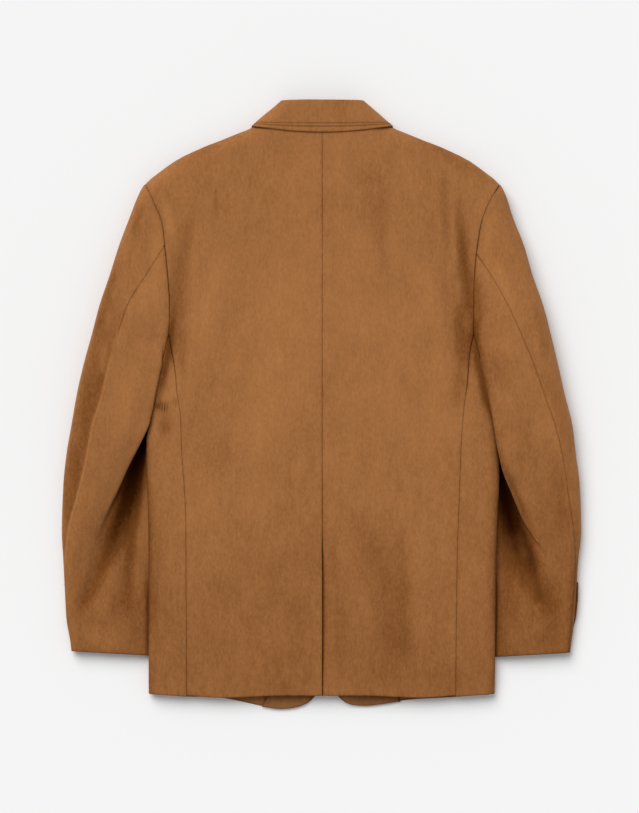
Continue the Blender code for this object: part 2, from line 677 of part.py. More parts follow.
def sleeve(side, kind, columns, heights):
    """One half of a sleeve, as a section for each height."""
    points = np.zeros((len(heights), columns, 3))
    for row, y in enumerate(heights):
        if kind == "upper":
            section = spread(topsleeve_path(side, y), columns, 16.0)
        else:
            section = spread(undersleeve_path(side, y), columns, 9.0)
        points[row, :, 0] = section[:, 0]
        points[row, :, 1] = cuff_skew(side, section[:, 0], y)
        points[row, :, 2] = section[:, 1]
    return points


def add_cloth(name, points, side, colour, group, flip=False, lap=0, shut=None):
    """Make a panel from a grid of points on its outer face, and give it its wall.

    The first lap columns are left out in the rows that are shut.
    """
    sign = -1.0 if side == "left" else 1.0
    mesh = bpy.data.meshes.new(name)
    work = bmesh.new()
    grid = []
    for line in points:
        grid.append([work.verts.new((sign * x * MM, y * MM, z * MM)) for x, y, z in line])
    reverse = (sign < 0) != flip
    for i in range(len(grid) - 1):
        for j in range(len(grid[0]) - 1):
            if j < lap and shut[i + 1]:
                continue
            face = [grid[i][j], grid[i][j + 1], grid[i + 1][j + 1], grid[i + 1][j]]
            work.faces.new(face[:1] + face[:0:-1] if reverse else face)
    loose = [v for v in work.verts if not v.link_faces]
    bmesh.ops.delete(work, geom=loose, context="VERTS")
    work.to_mesh(mesh)
    work.free()
    mesh.shade_smooth()
    mesh.set_sharp_from_angle(angle=math.radians(50))
    piece = bpy.data.objects.new(name, mesh)
    group.objects.link(piece)
    piece.data.materials.append(colour)
    wall = piece.modifiers.new("wall", "SOLIDIFY")
    wall.thickness = WALL * MM
    wall.offset = -1.0
    wall.use_quality_normals = True
    return piece


def finish(name, colour, roughness):
    """A Principled material of one colour."""
    material = bpy.data.materials.new(name)
    material.use_nodes = True
    shader = material.node_tree.nodes["Principled BSDF"]
    shader.inputs["Base Color"].default_value = colour
    shader.inputs["Roughness"].default_value = roughness
    shader.inputs["Metallic"].default_value = 0.0
    return material


def add_button(name, place, off, group):
    """A turned button with a raised rim, lying on the surface with its face down."""
    x, y = place
    mesh = bpy.data.meshes.new(name)
    profile = bmesh.new()
    half = BUTTON_THICK / 2
    outline = ((0, half), (7.0, half), (9.4, half - 0.5), (10.0, 0.2), (9.6, -1.2),
               (8.6, -half), (7.4, -half + 0.2), (6.6, -half + 0.9), (0, -half + 0.9))
    verts = [profile.verts.new((r * MM, 0, z * MM)) for r, z in outline]
    for a, b in zip(verts[:-1], verts[1:]):
        profile.edges.new((a, b))
    profile.to_mesh(mesh)
    profile.free()
    piece = bpy.data.objects.new(name, mesh)
    group.objects.link(piece)
    piece.location = (x * MM, y * MM, (half + off) * MM)
    turned = piece.modifiers.new("turned", "SCREW")
    turned.steps = 18
    turned.render_steps = 18
    turned.use_merge_vertices = True
    turned.merge_threshold = 0.0001
    piece.data.materials.append(finish(name, HORN, 0.35))
    return piece


def cuff_lap(side, columns, rows):
    """Underlap of a cuff's vent, made from the sleeve's outer fold moved in or out."""
    heights = np.linspace(-236.0, -328.0, rows)
    points = np.zeros((rows, columns, 3))
    for row, y in enumerate(heights):
        outer = float(sleeve_outer(side, y)[0])
        mid = float(sleeve_mid(y))
        width = float(fold_width(mid))
        off = WALL + SLIP + 0.8 * math.sin(math.pi * row / (rows - 1))
        if side == "left":
            off = -WALL - LOOSE - SLIP
        for k, angle in enumerate(np.linspace(0.55, -0.85, columns)):
            out = outer - width * (1 - math.cos(angle)) + off * math.cos(angle)
            level = mid * (1 + math.sin(angle)) + off * math.sin(angle)
            points[row, k] = (out, y, max(level, 0.0))
    return points


def vented_back(columns, rows):
    """The right back panel with the centre vent's underlap cut in one with it."""
    panel = back_panel("right", columns, rows)
    y = panel[:, 0, 1]
    open_part = ease(-y, -VENT_TOP_Y - 6, -VENT_TOP_Y + 60)
    panel[:, 0, 0] += VENT_GAP * open_part
    lap = []
    for out in (-VENT_LAP, -VENT_LAP / 2, 0.6):
        level = body_top(abs(out), y) - WALL - 2 * SLIP
        lap.append(np.column_stack((np.full(rows, out), y, level)))
    return np.concatenate((np.stack(lap, axis=1), panel), axis=1)


def build():
    """Clear the file and make every piece."""
    for old in list(bpy.data.objects):
        bpy.data.objects.remove(old)
    group = bpy.data.collections.new("suede_jacket")
    bpy.context.scene.collection.children.link(group)
    for side in ("left", "right"):
        outer = finish("suede_" + side, SUEDE, 0.9)
        under = finish("suede_inner_" + side, SUEDE_UNDER, 0.9)
        if side == "left":
            add_cloth("back_left", back_panel(side, 8, 26), side, outer, group)
        else:
            back = vented_back(8, 26)
            shut = back[:, 0, 1] > VENT_TOP_Y
            add_cloth("back_right", back, side, outer, group, lap=3, shut=shut)
        add_cloth("side_" + side, side_panel(side, 11, 22, 160), side, outer, group)
        front = front_panel(side, 11, 30)
        add_cloth("front_" + side, front, side, under, group, flip=True)
        seam_column = FACING_COLUMN[side]
        add_cloth("facing_" + side, facing(front, seam_column), side, under, group)
        add_cloth("lapel_" + side, lapel(side, 5, 12, 5), side, outer, group)
        top = sleeve(side, "upper", 14, sleeve_rows("upper", side))
        add_cloth("sleeve_upper_" + side, top, side, outer, group, flip=True)
        low = sleeve(side, "under", 19, sleeve_rows("under", side))
        add_cloth("sleeve_under_" + side, low, side, outer, group)
        add_cloth("cuff_lap_" + side, cuff_lap(side, 6, 7), side, outer, group, flip=True)
    fall = collar(8, (0.0, 0.3, 0.62, 0.92))
    collar_colour = finish("suede_collar", SUEDE, 0.9)
    add_cloth("collar", fall, "right", collar_colour, group)
    for number, (place, off) in enumerate(zip(BUTTONS, BUTTON_OFF), 1):
        add_button("button_" + str(number), place, off, group)


build()
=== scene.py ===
"""Dresses the suede jacket: the same panels as thin sewn shells with creases, nap, painted shade
and light, and stitching.

The frame: +Z up from the surface, +Y toward the collar, +X toward the wearer's right.
Sizes in the tables are millimetres, and MM turns them into metres.
"""

import math

import bpy
import numpy as np
from mathutils import Matrix, Vector


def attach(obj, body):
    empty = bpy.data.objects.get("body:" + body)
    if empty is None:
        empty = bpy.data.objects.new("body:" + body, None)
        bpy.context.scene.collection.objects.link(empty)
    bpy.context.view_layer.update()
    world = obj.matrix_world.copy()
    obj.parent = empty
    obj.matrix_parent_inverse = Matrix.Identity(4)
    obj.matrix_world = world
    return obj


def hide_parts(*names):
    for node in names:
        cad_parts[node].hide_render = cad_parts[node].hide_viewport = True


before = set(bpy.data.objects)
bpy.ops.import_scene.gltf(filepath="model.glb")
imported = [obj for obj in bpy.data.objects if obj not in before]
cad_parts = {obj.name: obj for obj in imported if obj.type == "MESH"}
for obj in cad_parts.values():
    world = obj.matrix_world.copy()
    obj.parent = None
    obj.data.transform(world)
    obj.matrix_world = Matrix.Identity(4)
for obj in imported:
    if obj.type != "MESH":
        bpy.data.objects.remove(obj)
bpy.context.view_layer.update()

MM = 0.001
SIGN = {"left": -1.0, "right": 1.0}   # the tables give how far out, on either side
WALL = 1.6            # thickness of the suede
SEAM = 0.07           # half of the clear gap between neighbouring pieces
SLIP = 0.4            # clear gap between layers that lie on each other
LOOSE = 1.3           # the same where both layers rise and fall together

HEM_Y = -387.7        # centre back at the hem
NECK_Y = 378.0        # centre back at the neck seam
EDGE_MID = 15.0       # height of the shoulder fold above the surface
EDGE_WIDTH = 20.0     # how far in from a fold the cloth is still turning
SIDE_WIDTH = 14.0     # the same at the side of the body
UNDERARM_Y = -23.5
VENT_TOP_Y = -203.0
VENT_LAP = 36.0       # width of the vent's underlap
VENT_GAP = 2.9        # how far the vent stands open
VENT_EASE = 40.0      # that gap fades over this far in from the edge, and at its top
SHOULDER_CROWD = 1.35  # rows of a panel crowd toward the shoulder
BREAK_Y = -58.0       # where the lapel's roll line meets the front edge
FRONT_SIDE = 186      # seam between front and side panel
FRONT_EDGE_X = -20    # straight part of a front's edge, past the middle
SIDE_TOP_Y = 94.0     # top of the side panel, at its seam with the back
CUFF_Y = -336.0       # lowest section of a sleeve, before the cuff's slant

# Height of the back's outer face above the surface, from hem to neck.
BODY_HEIGHT = {
    "y": (-410, -300, -200, -100, 0, 100, 200, 290, 340, 420),
    "z": (15.4, 18.2, 21.3, 23.0, 24.5, 27.5, 30.0, 31.0, 30.0, 28.0),
}
# Height of a sleeve's crown, from cuff to shoulder.
SLEEVE_HEIGHT = {
    "y": (-345, -300, -250, -200, -150, -100, -50, 0, 50, 100, 150, 200, 250, 300),
    "z": (17.0, 17.0, 17.8, 19.5, 22.2, 26, 31, 35, 37, 38, 38, 36, 33, 30),
}
# The layers lift each other: how far past its own edge a layer lifts the next one,
# where that lift ends for what is turned back and for the stack of the left front, and
# from where to where it fades round a button.
COVER_BEYOND = 14.0
TURNED_MARGIN = 46.0
STACK_MARGIN = 60.0
BUTTON_MARGIN = (24.0, 60.0)
# The tucked sleeve lifts the underside of the body's edge: how far, where the lift
# comes in across the body, where it comes in below the underarm, and where it ends.
TUCK_LIFT = 7.6
TUCK_ACROSS = (166, 184)
TUCK_START = (2, 42)
TUCK_END = (348, 384)
# A sleeve's upper side joins the back: over this width beside the armhole, and over
# these heights above the underarm. Its outer fold joins the shoulder's over the last.
ARMHOLE_BLEND = 42
ARMHOLE_FADE = (60, 110)
SHOULDER_BLEND = (230, 290)
# Outline of the shoulder from the neck point to the shoulder point.
SHOULDER = {
    "out": (84, 100, 110, 135, 156, 174, 190, 203, 214, 221.6, 229.2, 236.4),
    "y": (375.6, 368, 364.2, 354, 346, 338, 330, 322, 314, 308.2, 302.4, 295.2),
}
# Outer outline of each sleeve, from the shoulder point to the cuff.
OUTLINE_Y = (298, 290, 274, 254, 214, 173, 133, 93, 53, 13, -27, -68, -108, -168,
             -208, -249, -289, -329, -345)
OUTLINE = {
    "left": (235.2, 240.8, 248.4, 256, 271, 284, 297.5, 308, 319, 328, 335, 342, 346, 348,
             346, 344, 342, 336, 335),
    "right": (235.2, 240.6, 247.4, 253.4, 269, 281, 295, 305.5, 315, 324, 334, 339, 344, 346,
              342, 339.5, 337, 332, 331),
}
# Side of the body from the underarm to the hem.
SIDE_Y = (-400, -208, -148, -90, -50, -22, 100)
SIDE = {
    "left": (232, 232, 232.6, 234.3, 234.5, 232.6, 232.0),
    "right": (230.5, 232, 234, 236.5, 235, 231.8, 231.0),
}
# Seam between back and side panel, from the hem to the top of the side panel.
SIDE_SEAM = {
    "left": {
        "y": (-395, -155, -47, -15, 20, 44, 77, 96),
        "out": (181, 182, 188, 189, 194, 196, 201.6, 204.6),
    },
    "right": {
        "y": (-395, -207, -117, -49, 6, 26, 68, 96),
        "out": (178, 180, 183, 185.5, 190, 193, 196.4, 201.6),
    },
}
# Back armhole, from the end of the side seam up to the shoulder point.
ARMHOLE = {
    "left": {
        "y": (94, 132, 177, 212, 243, 272, 295.2),
        "out": (204.6, 203.3, 206.2, 209.8, 213.6, 225, 236.4),
    },
    "right": {
        "y": (94, 122, 155, 188, 217, 243, 268, 295.2),
        "out": (201.6, 201.6, 202.0, 203.8, 207.2, 211.8, 220.8, 236.4),
    },
}
# Front armhole on the underside, from the underarm up to the shoulder point.
FRONT_ARMHOLE = {
    "y": (-24, -8, 30, 75, 130, 180, 230, 268, 294),
    "out": (231, 222, 200, 187, 182, 186, 200, 219, 235.5),
}
# Elbow seam of each sleeve, from the cuff to the armhole.
ELBOW = {
    "left": {
        "y": (-345, -222, -199, -157, -124, -76, -27, 8, 59, 99, 132, 172, 212),
        "out": (333, 343.5, 342, 336, 327, 315, 305.5, 294.5, 282, 271, 260, 236, 210.6),
    },
    "right": {
        "y": (-345, -235, -207, -172, -131, -76, -32, 8, 54, 85, 115, 150, 179, 201),
        "out": (328, 337, 338, 336, 330, 322, 312, 298, 282, 269, 256, 238, 221, 206.2),
    },
}
# The sleeve's inner fold below the back armhole. lip: its free edge. foot: where it
# meets the layer under it. inner: the edge tucked under the body. base: height at
# the foot. rise: height of the fold over its foot.
FOLD_Y = (94, 70, 38, 0, -23, -45, -62, -86, -118, -151, -195, -228, -270, -345)
FOLD = {
    "left": {
        "lip": (205, 209.4, 217, 225, 230, 239.4, 248.4, 260.6, 274, 287, 301, 312, 314, 308),
        "foot": (205, 210.6, 220, 230.9, 237, 242, 251, 264, 277.4, 285, 293, 301, 308, 308),
    },
    "right": {
        "lip": (202, 206.8, 215.4, 223.4, 227.8, 231, 234.5, 240, 253, 267, 289, 298, 308, 308),
        "foot": (202, 208.2, 218.4, 230.4, 237, 239.5, 241, 246, 258, 271, 291.5, 299, 308,
                 308),
    },
    "inner": (206, 216, 224, 233, 236, 226, 214, 207, 203, 200, 197, 194, 191, 188),
    "base": (27.0, 26, 23.8, 18, 11, 7.2, 6.4, 6.4, 7, 7.8, 9.6, 12.0, 15.2, 15.4),
    "rise": (0, 5, 9, 14.5, 18.5, 20, 19, 17, 13, 9.5, 5.5, 3, 0, 0),
}
# Where each fold softens into a slope, below the height it starts at.
SOFT_FOLD = {"left": (100, 214), "right": (150, 240)}
CUFF_LAP_Y = (-236.0, -328.0)    # upper and lower end of a cuff's underlap
# The cuff's edge: its height at its outer end, where that end is, and its slant.
CUFF_END_Y = {"left": -328.2, "right": -330.0}
CUFF_END_X = 335.0
CUFF_DROP = 6.0 / 105.0
# Where the undersleeve's slope has its points, from the elbow seam (1) to the foot (0).
SLOPE_PARTS = (0.62, 0.4, 0.25, 0.16, 0.1)
SLOPE_TOP = 0.82
# The undersleeve: the widest stretch over which its fold runs out, and the heights of
# its tucked layer, well inside the body and at most at the body's edge.
SLACK = 24.0
TUCK_LOW = 6.2
TUCK_HIGH = 12.5
# How much of the way under the body the undersleeve reaches: none above the underarm.
TUCK = {"y": (-60, -36, -14, -2), "part": (1.0, 1.0, 0.0, 0.0)}

# Lower end of each front, from its side seam to the round corner and up the edge.
FRONT_HEM = {
    "left": ((186, -388.4), (137, -389.6), (113, -393.6), (78, -400.8), (58, -403.6),
             (39, -402), (24, -397), (13, -389)),
    "right": ((186, -388.4), (158, -390), (117, -392.2), (88, -396.2), (62, -399.2),
              (49, -399), (36, -396.4), (25, -389)),
}
FRONT_EDGE = {
    "left": ((13, -391), (-3, -366), (-14, -330), (FRONT_EDGE_X, -280),
             (FRONT_EDGE_X, -150), (FRONT_EDGE_X, BREAK_Y)),
    "right": ((25, -391), (6, -364), (-11, -322), (FRONT_EDGE_X, -270),
              (FRONT_EDGE_X, -150), (FRONT_EDGE_X, BREAK_Y)),
}
ROLL_TOP = (42, 260)
GORGE = ((46, 258), (60, 260), (78, 266))
FRONT_NECK = ((78, 266), (88, 295), (95, 331), (94, 360), (85.5, 376.0))
LAPEL_EDGE = ((-14, BREAK_Y + 6), (8, -20), (45, 60), (80, 150), (103, 225), (112, 252))
LAPEL_GORGE = ((76, 260), (112, 252))    # the lapel's top, from its roll line outward
ROLL_RADIUS = 1.4     # how far the roll line bulges past the front's edge
ROLL_INSIDE = (0.6, 8.0)   # where the lapel's cloth goes on inside the front
SHOULDER_GAP = 0.4    # from the fold's middle to each panel's edge
# Lower end and neck of a back panel, from the centre outward, and the heights between
# which its outer edge follows the side seam and the armhole, with the number of points.
BACK_HEM = ((SEAM, HEM_Y), (60, HEM_Y), (137, HEM_Y - 2.6))
BACK_NECK = ((SEAM, NECK_Y), (45, NECK_Y + 0.4), (75, NECK_Y + 0.6), (84, 376.3))
BACK_SIDE_Y = (-387.4, 92.0, 40)
BACK_ARM_Y = (95.0, 295.2, 30)
# Hem of a side panel: where its sections start, its middle, and the drop at its seams.
SIDE_LOW_Y = -391.0
SIDE_HEM_Y = -385.4
SIDE_HEM_DROP = 3.6
FACING_COLUMN = {"left": 4, "right": 5}   # column of the front at the facing's seam

# Collar: its lower edge, its fold, and where both pass over the shoulder.
COLLAR_EDGE_CENTRE = 364.0
COLLAR_FOLD_Y = 407.6
COLLAR_TURN = {"edge": (94.9, 373.0), "fold": (54.9, 407.0)}
COLLAR_FRONT_EDGE = ((94.6, 373.2), (101.6, 352), (103, 320), (95, 290), (84, 268))
COLLAR_FRONT_FOLD = ((54.9, 407.0), (60.5, 392), (60, 360), (52, 310), (42, 266))
COLLAR_HIGH = 29.7    # middle of the fold, between fall and stand
STAND_IN = 7.0        # the stand is this much narrower than the fall at each side
STAND_SEAM = 0.29     # the neck seam's place between collar edge and fold

BUTTONS = ((0.0, -75.0), (0.0, -185.0))   # the upper one is held a little off
BUTTON_OFF = (0.8, 0.1)                   # the surface by the roll of the lapels
BUTTON_THICK = 3.4


# Points are this far apart on the panels that show from above and on the others.
FINE = 2.6
MEDIUM = 3.2
COARSE = 4.2
SLEEVE_STEP = 3.0
COLLAR_COLUMNS = 58
SLEEVE_TOP = {                   # where the dressed sleeves' sections start
    "upper": {"left": 294.8, "right": 294.8},
    "under": {"left": 211.2, "right": 200.6},
}
EDGE_STEPS = (0.12, 0.3, 0.56)   # extra lines between the first two, near an edge
SEAM_ROLL = 0.30                 # how far a panel rolls down into its seam
SEAM_WIDTH = 1.5
HEM_ROLL = 0.7                   # the same where an edge is turned under
HEM_WIDTH = 2.6
RIM = 0.04                       # how far a cut edge bulges out
CREASE_DEPTH = 1.5               # the tables' depths are taken this many times
CREASE_FADE = 0.35               # a crease fades over this part of its length at each end
TOP_WAVES = ((0.22, 62.0, 5), (0.10, 21.0, 9))   # slow unevenness: height, size, seed
LIFTED = 1.2                     # points lower than this stay on the surface
TOPSTITCH = (7.6, 12.2)          # rows of stitches, from the collar's edge
BUTTON_STEPS = 64
BUTTON_HALF = BUTTON_THICK / 2
BUTTON_OUTLINE = (               # radius and height, from the back's middle to the face's
    (0.9, BUTTON_HALF), (5.0, BUTTON_HALF), (7.4, BUTTON_HALF - 0.1),
    (9.0, BUTTON_HALF - 0.35), (9.7, BUTTON_HALF - 0.8), (10.0, 0.2), (9.95, -0.5),
    (9.6, -1.15), (9.0, -BUTTON_HALF + 0.05), (8.5, -BUTTON_HALF),
    (7.9, -BUTTON_HALF + 0.06), (7.3, -BUTTON_HALF + 0.3), (6.8, -BUTTON_HALF + 0.75),
    (6.2, -BUTTON_HALF + 0.95), (3.0, -BUTTON_HALF + 1.05), (0.9, -BUTTON_HALF + 1.05))
HOLE_RADIUS = 0.95
HOLES_OUT = 2.1                  # from the button's middle to each hole

# Painted shade and light, and nap. The colour runs from dark at -0.5 to light at 0.5, and is
# painted shade below that.
SEAM_SHADE = 0.14                # painted shade in a seam, more along the stretches listed as darker seam shade
HEM_SHADE = 0.20
LAP_SHADE = 0.42                 # over the vent's underlap
SEAM_SHADE_TONE = 1.6                   # how much darker the colour is painted in a seam's shade
SEAM_DEEP = 0.35                 # how far a seam's painted shade goes toward the near-black shade colour
RIDGE_LIGHT = 0.26               # how much lighter on a raised seam
PIT_SHADE = 1.2                    # how much darker the painted shade makes the pit beside the body
PIT_CURVE = 1.9
FALLOFF_SHADE = 0.13                  # painted shade, darker from the collar down to the hem, where the light falls off
STRIP_SHADE = {"left": 0.34, "right": 0.10}     # painted shade, darker outside the elbow seam where the sleeve turns away from the light
STRIP_RIM_LIGHT = 0.38                 # painted light, lighter again at that strip's outline
# Painted shade, darker down the forearms.
FOREARM_SHADE = {"left": 0.10, "right": 0.16}
FRONT_CORNER_LIGHT = 0.30                 # painted light on the fronts' lower corners, where the back's hem shades them
BODY_EDGE_SHADOW = {"left": 0.16, "right": 0.40}        # painted shadow of the body's edge, on the sleeve beside it
SIDE_TURN_SHADE = {"left": 0.52, "right": 0.36}      # painted shade on the side panel, where it turns down
# How far below the middle each of these comes in, and for some where it goes again.
ZONES = {
    "fall": (-60, 380),
    "forearm": (120, 300),
    "strip": (-150, -50), "strip_end": (220, 320),
    "front": (384, 390),
    "beside": (170, 260),
    "edge": (20, 70), "edge_end": (260, 320),
    "ridge": (-110, -40), "ridge_end": (190, 235),
    "vent_end": (290, 392),
}
# The painted shade in the pit between sleeve and body: how far down it starts to lighten and is
# light, from the body's edge at 0 toward the sleeve's lip at 1.
PIT = {
    "toward": (0.0, 0.1, 0.2, 0.35, 0.5, 0.65, 0.8, 0.95, 1.1),
    "left": {"start": (-30, -20, 17, 22, 52, 48, 16, -50, -60),
             "end": (150, 155, 183, 220, 222, 236, 260, 255, 240)},
    "right": {"start": (20, 34, 76, 98, 112, 80, 54, 37, 30),
              "end": (235, 240, 248, 255, 270, 288, 300, 240, 220)},
}
# Mottling of the nap: size, stretch along the grain, detail, roughness, shift, weight.
SUEDE_NOISES = (
    (95.0, 2.2, 2.0, 0.5, 0.0, 0.30),
    (30.0, 1.6, 3.0, 0.6, 3.1, 0.26),
    (8.0, 4.0, 3.0, 0.6, 5.7, 0.26),
    (3.0, 2.2, 2.0, 0.6, 7.7, 0.44),
    (1.2, 1.2, 3.0, 0.7, 9.2, 0.44),
)
SHEEN = 0.12
GLOSS = 0.18
DARK = (0.168, 0.058, 0.014, 1.0)
LIGHT = (0.485, 0.202, 0.063, 1.0)
INNER_DARK = (0.140, 0.052, 0.015, 1.0)
INNER_LIGHT = (0.410, 0.172, 0.056, 1.0)
# Near-black painted shade for the seams and the pit, and painted shade below the darkest nap.
DEEP_SHADE = (0.0100, 0.0022, 0.0006, 1.0)
SHADED = (0.046, 0.0118, 0.0018, 1.0)
THREAD_DARK = (0.26, 0.115, 0.040, 1.0)
THREAD_LIGHT = (0.40, 0.190, 0.070, 1.0)
HORN_RAMP = ((0.38, (0.022, 0.011, 0.006, 1.0)), (0.66, (0.150, 0.075, 0.034, 1.0)))
FLOOR = (0.905, 0.905, 0.905, 1.0)
WORLD_LIGHT = 0.45
SUN = {"toward": (-0.42, 0.74, 0.92), "angle": 50.0, "strength": 2.39}
CAMERA_PLACE = (-0.0037, -0.0014, 6.045)


def smooth(value, knots, levels):
    """A curve through a table's rows that never overshoots them."""
    knots = np.asarray(knots, float)
    levels = np.asarray(levels, float)
    if knots[0] > knots[-1]:
        knots = knots[::-1]
        levels = levels[::-1]
    step = np.diff(knots)
    slope = np.diff(levels) / step
    tangent = np.zeros_like(levels)
    same = slope[:-1] * slope[1:] > 0
    mean = 2.0 * slope[:-1] * slope[1:] / np.where(same, slope[:-1] + slope[1:], 1.0)
    tangent[1:-1] = np.where(same, mean, 0.0)
    tangent[0] = slope[0]
    tangent[-1] = slope[-1]
    value = np.clip(np.asarray(value, float), knots[0], knots[-1])
    index = np.clip(np.searchsorted(knots, value) - 1, 0, len(step) - 1)
    width = step[index]
    t = (value - knots[index]) / width
    start = (1 + 2 * t) * (1 - t) ** 2 * levels[index]
    leave = t * (1 - t) ** 2 * width * tangent[index]
    end = t * t * (3 - 2 * t) * levels[index + 1]
    arrive = t * t * (t - 1) * width * tangent[index + 1]
    return start + leave + end + arrive


def curve(table, y):
    """What a table's second row says at heights y."""
    heights, levels = table.values()
    return smooth(y, heights, levels)


def body_edge(side, y):
    """Where the side of the body runs."""
    return smooth(y, SIDE_Y, SIDE[side])


def ease(value, low, high):
    """Rise smoothly from 0 at low to 1 at high."""
    t = np.clip((np.asarray(value, float) - low) / (high - low), 0.0, 1.0)
    return t * t * (3 - 2 * t)


def turn_in(distance, width):
    """How far a fold's rounding has come at a distance in from its edge."""
    t = np.clip(1.0 - np.asarray(distance, float) / width, 0.0, 1.0)
    return np.sqrt(1.0 - t * t)


def fold_width(half):
    """A thin fold turns in less width than a thick one."""
    return np.clip(1.45 * np.asarray(half, float), 4.0, EDGE_WIDTH)


def dense(points, steps=12):
    """A smooth path through a few points."""
    points = np.asarray(points, float)
    first = 2 * points[0] - points[1]
    last = 2 * points[-1] - points[-2]
    padded = np.vstack((first, points, last))
    path = []
    for i in range(1, len(padded) - 2):
        p0, p1, p2, p3 = padded[i - 1:i + 3]
        gap = [max(math.dist(p, q), 1e-6) ** 0.5 for p, q in ((p0, p1), (p1, p2), (p2, p3))]
        m1 = (p2 - p1) + gap[1] * ((p1 - p0) / gap[0] - (p2 - p0) / (gap[0] + gap[1]))
        m2 = (p2 - p1) + gap[1] * ((p3 - p2) / gap[2] - (p3 - p1) / (gap[1] + gap[2]))
        for t in np.arange(steps) / steps:
            a = (2 * t ** 3 - 3 * t ** 2 + 1) * p1 + (t ** 3 - 2 * t ** 2 + t) * m1
            b = (3 * t ** 2 - 2 * t ** 3) * p2 + (t ** 3 - t ** 2) * m2
            path.append(a + b)
    path.append(points[-1])
    return np.array(path)


def spread(path, count, bend=0.0, crowd=1.0):
    """Points along a path, closer where it bends and, with crowd over 1, at its end."""
    path = np.asarray(path, float)
    run = np.diff(path, axis=0)
    length = np.linalg.norm(run, axis=1)
    measure = length.copy()
    if bend > 0:
        heading = np.unwrap(np.arctan2(run[:, 1], run[:, 0]))
        turning = np.abs(np.diff(heading))
        measure[:-1] += bend * turning / 2
        measure[1:] += bend * turning / 2
    total = np.concatenate(([0.0], np.cumsum(measure)))
    wanted = total[-1] * (1 - (1 - np.linspace(0.0, 1.0, count)) ** crowd)
    columns = [np.interp(wanted, total, path[:, k]) for k in range(path.shape[1])]
    return np.stack(columns, axis=1)


def away(x, y, line):
    """Distance in plan from points to a line of straight stretches."""
    line = np.asarray(line, float)
    start = line[:-1]
    run = np.diff(line, axis=0)
    size = np.maximum((run ** 2).sum(axis=1), 1e-9)
    dx = np.asarray(x, float)[..., None] - start[:, 0]
    dy = np.asarray(y, float)[..., None] - start[:, 1]
    t = np.clip((dx * run[:, 0] + dy * run[:, 1]) / size, 0.0, 1.0)
    return np.hypot(dx - t * run[:, 0], dy - t * run[:, 1]).min(axis=-1)


def inside(x, y, ring):
    """True where a point lies within a closed outline in plan."""
    x = np.asarray(x, float)
    y = np.asarray(y, float)
    found = np.zeros(x.shape, bool)
    ring = np.asarray(ring, float)
    for (ax, ay), (bx, by) in zip(ring, np.roll(ring, -1, axis=0)):
        if ay == by:
            continue
        crosses = (ay > y) != (by > y)
        found ^= crosses & (x < (bx - ax) * (y - ay) / (by - ay) + ax)
    return found


def cover(x, y, ring, margin):
    """1 over an outline and a little beyond, easing to 0 at the margin."""
    closed = np.vstack((ring, ring[:1]))
    out = np.where(inside(x, y, ring), 0.0, away(x, y, closed))
    return 1.0 - ease(out, COVER_BEYOND, margin)


def patch(bottom, top, left, right, columns, rows, crowd=1.0):
    """Plan of a panel filled in between its four edges."""
    u = np.linspace(0, 1, columns)[None, :, None]
    v = (1 - (1 - np.linspace(0, 1, rows)) ** crowd)[:, None, None]
    low = spread(bottom, columns)[None, :, :]
    high = spread(top, columns)[None, :, :]
    near = spread(left, rows, crowd=crowd)[:, None, :]
    far = spread(right, rows, crowd=crowd)[:, None, :]
    corners = (1 - u) * (1 - v) * low[:, :1] + u * (1 - v) * low[:, -1:]
    corners = corners + (1 - u) * v * high[:, :1] + u * v * high[:, -1:]
    return (1 - v) * low + v * high + (1 - u) * near + u * far - corners


def shoulder_points():
    """Plan points of the shoulder's fold between its two ends."""
    return list(zip(SHOULDER["out"], SHOULDER["y"]))[1:-1]


def from_shoulder(out, y):
    """Distance in plan from the shoulder's fold."""
    return away(out, y, np.column_stack((SHOULDER["out"], SHOULDER["y"])))


def off_shoulder(points, step):
    """Keep a panel's edge along the shoulder clear of the fold's middle, up or down."""
    near = from_shoulder(points[..., 0], points[..., 1]) < 0.9
    level = points[..., 2]
    limit = EDGE_MID + step
    clear = np.maximum(level, limit) if step > 0 else np.minimum(level, limit)
    points[..., 2] = np.where(near, clear, level)
    return points


def body_top(out, y):
    """Outer face of the back over the body, without the turn at its side."""
    level = curve(BODY_HEIGHT, y)
    return EDGE_MID + (level - EDGE_MID) * turn_in(from_shoulder(out, y), EDGE_WIDTH)


def side_lift(out, y):
    """How far the tucked sleeve lifts the underside of the body's edge."""
    down = -np.asarray(y, float)
    return TUCK_LIFT * ease(out, *TUCK_ACROSS) * (ease(down, *TUCK_START)
                                                  * (1 - ease(down, *TUCK_END)))


def collar_lapel_ring():
    """Outline in plan of what is turned back onto a front."""
    return np.array(((FRONT_EDGE_X, BREAK_Y), *LAPEL_EDGE, *COLLAR_FRONT_EDGE[::-1],
                     *COLLAR_FRONT_FOLD, ROLL_TOP), float)


def left_stack(x, y):
    """Height that the left front takes up under the right one."""
    edge = dense(FRONT_EDGE["left"], 6)
    ring = np.vstack((edge, ROLL_TOP, (200, 260), (200, -408)))
    over = cover(-np.asarray(x, float), y, ring, STACK_MARGIN)
    lapel = ease(np.asarray(y, float), BREAK_Y - 30, BREAK_Y - 6)
    return (2 * WALL + 2 * LOOSE + 4 * SLIP + (WALL + SLIP) * lapel) * over


def button_lift(x, y):
    """Rise of the fronts over the buttons under them."""
    total = np.zeros(np.shape(x))
    for bx, by in BUTTONS:
        distance = np.hypot(np.asarray(x, float) - bx, np.asarray(y, float) - by)
        total = total + (BUTTON_THICK + SLIP) * (1 - ease(distance, *BUTTON_MARGIN))
    return total


def floor_lift(side, out, y):
    """Height under the outermost layer of one side of the front."""
    x = SIGN[side] * np.asarray(out, float)
    lift = button_lift(x, y)
    if side == "right":
        lift = lift + left_stack(x, y)
    return lift


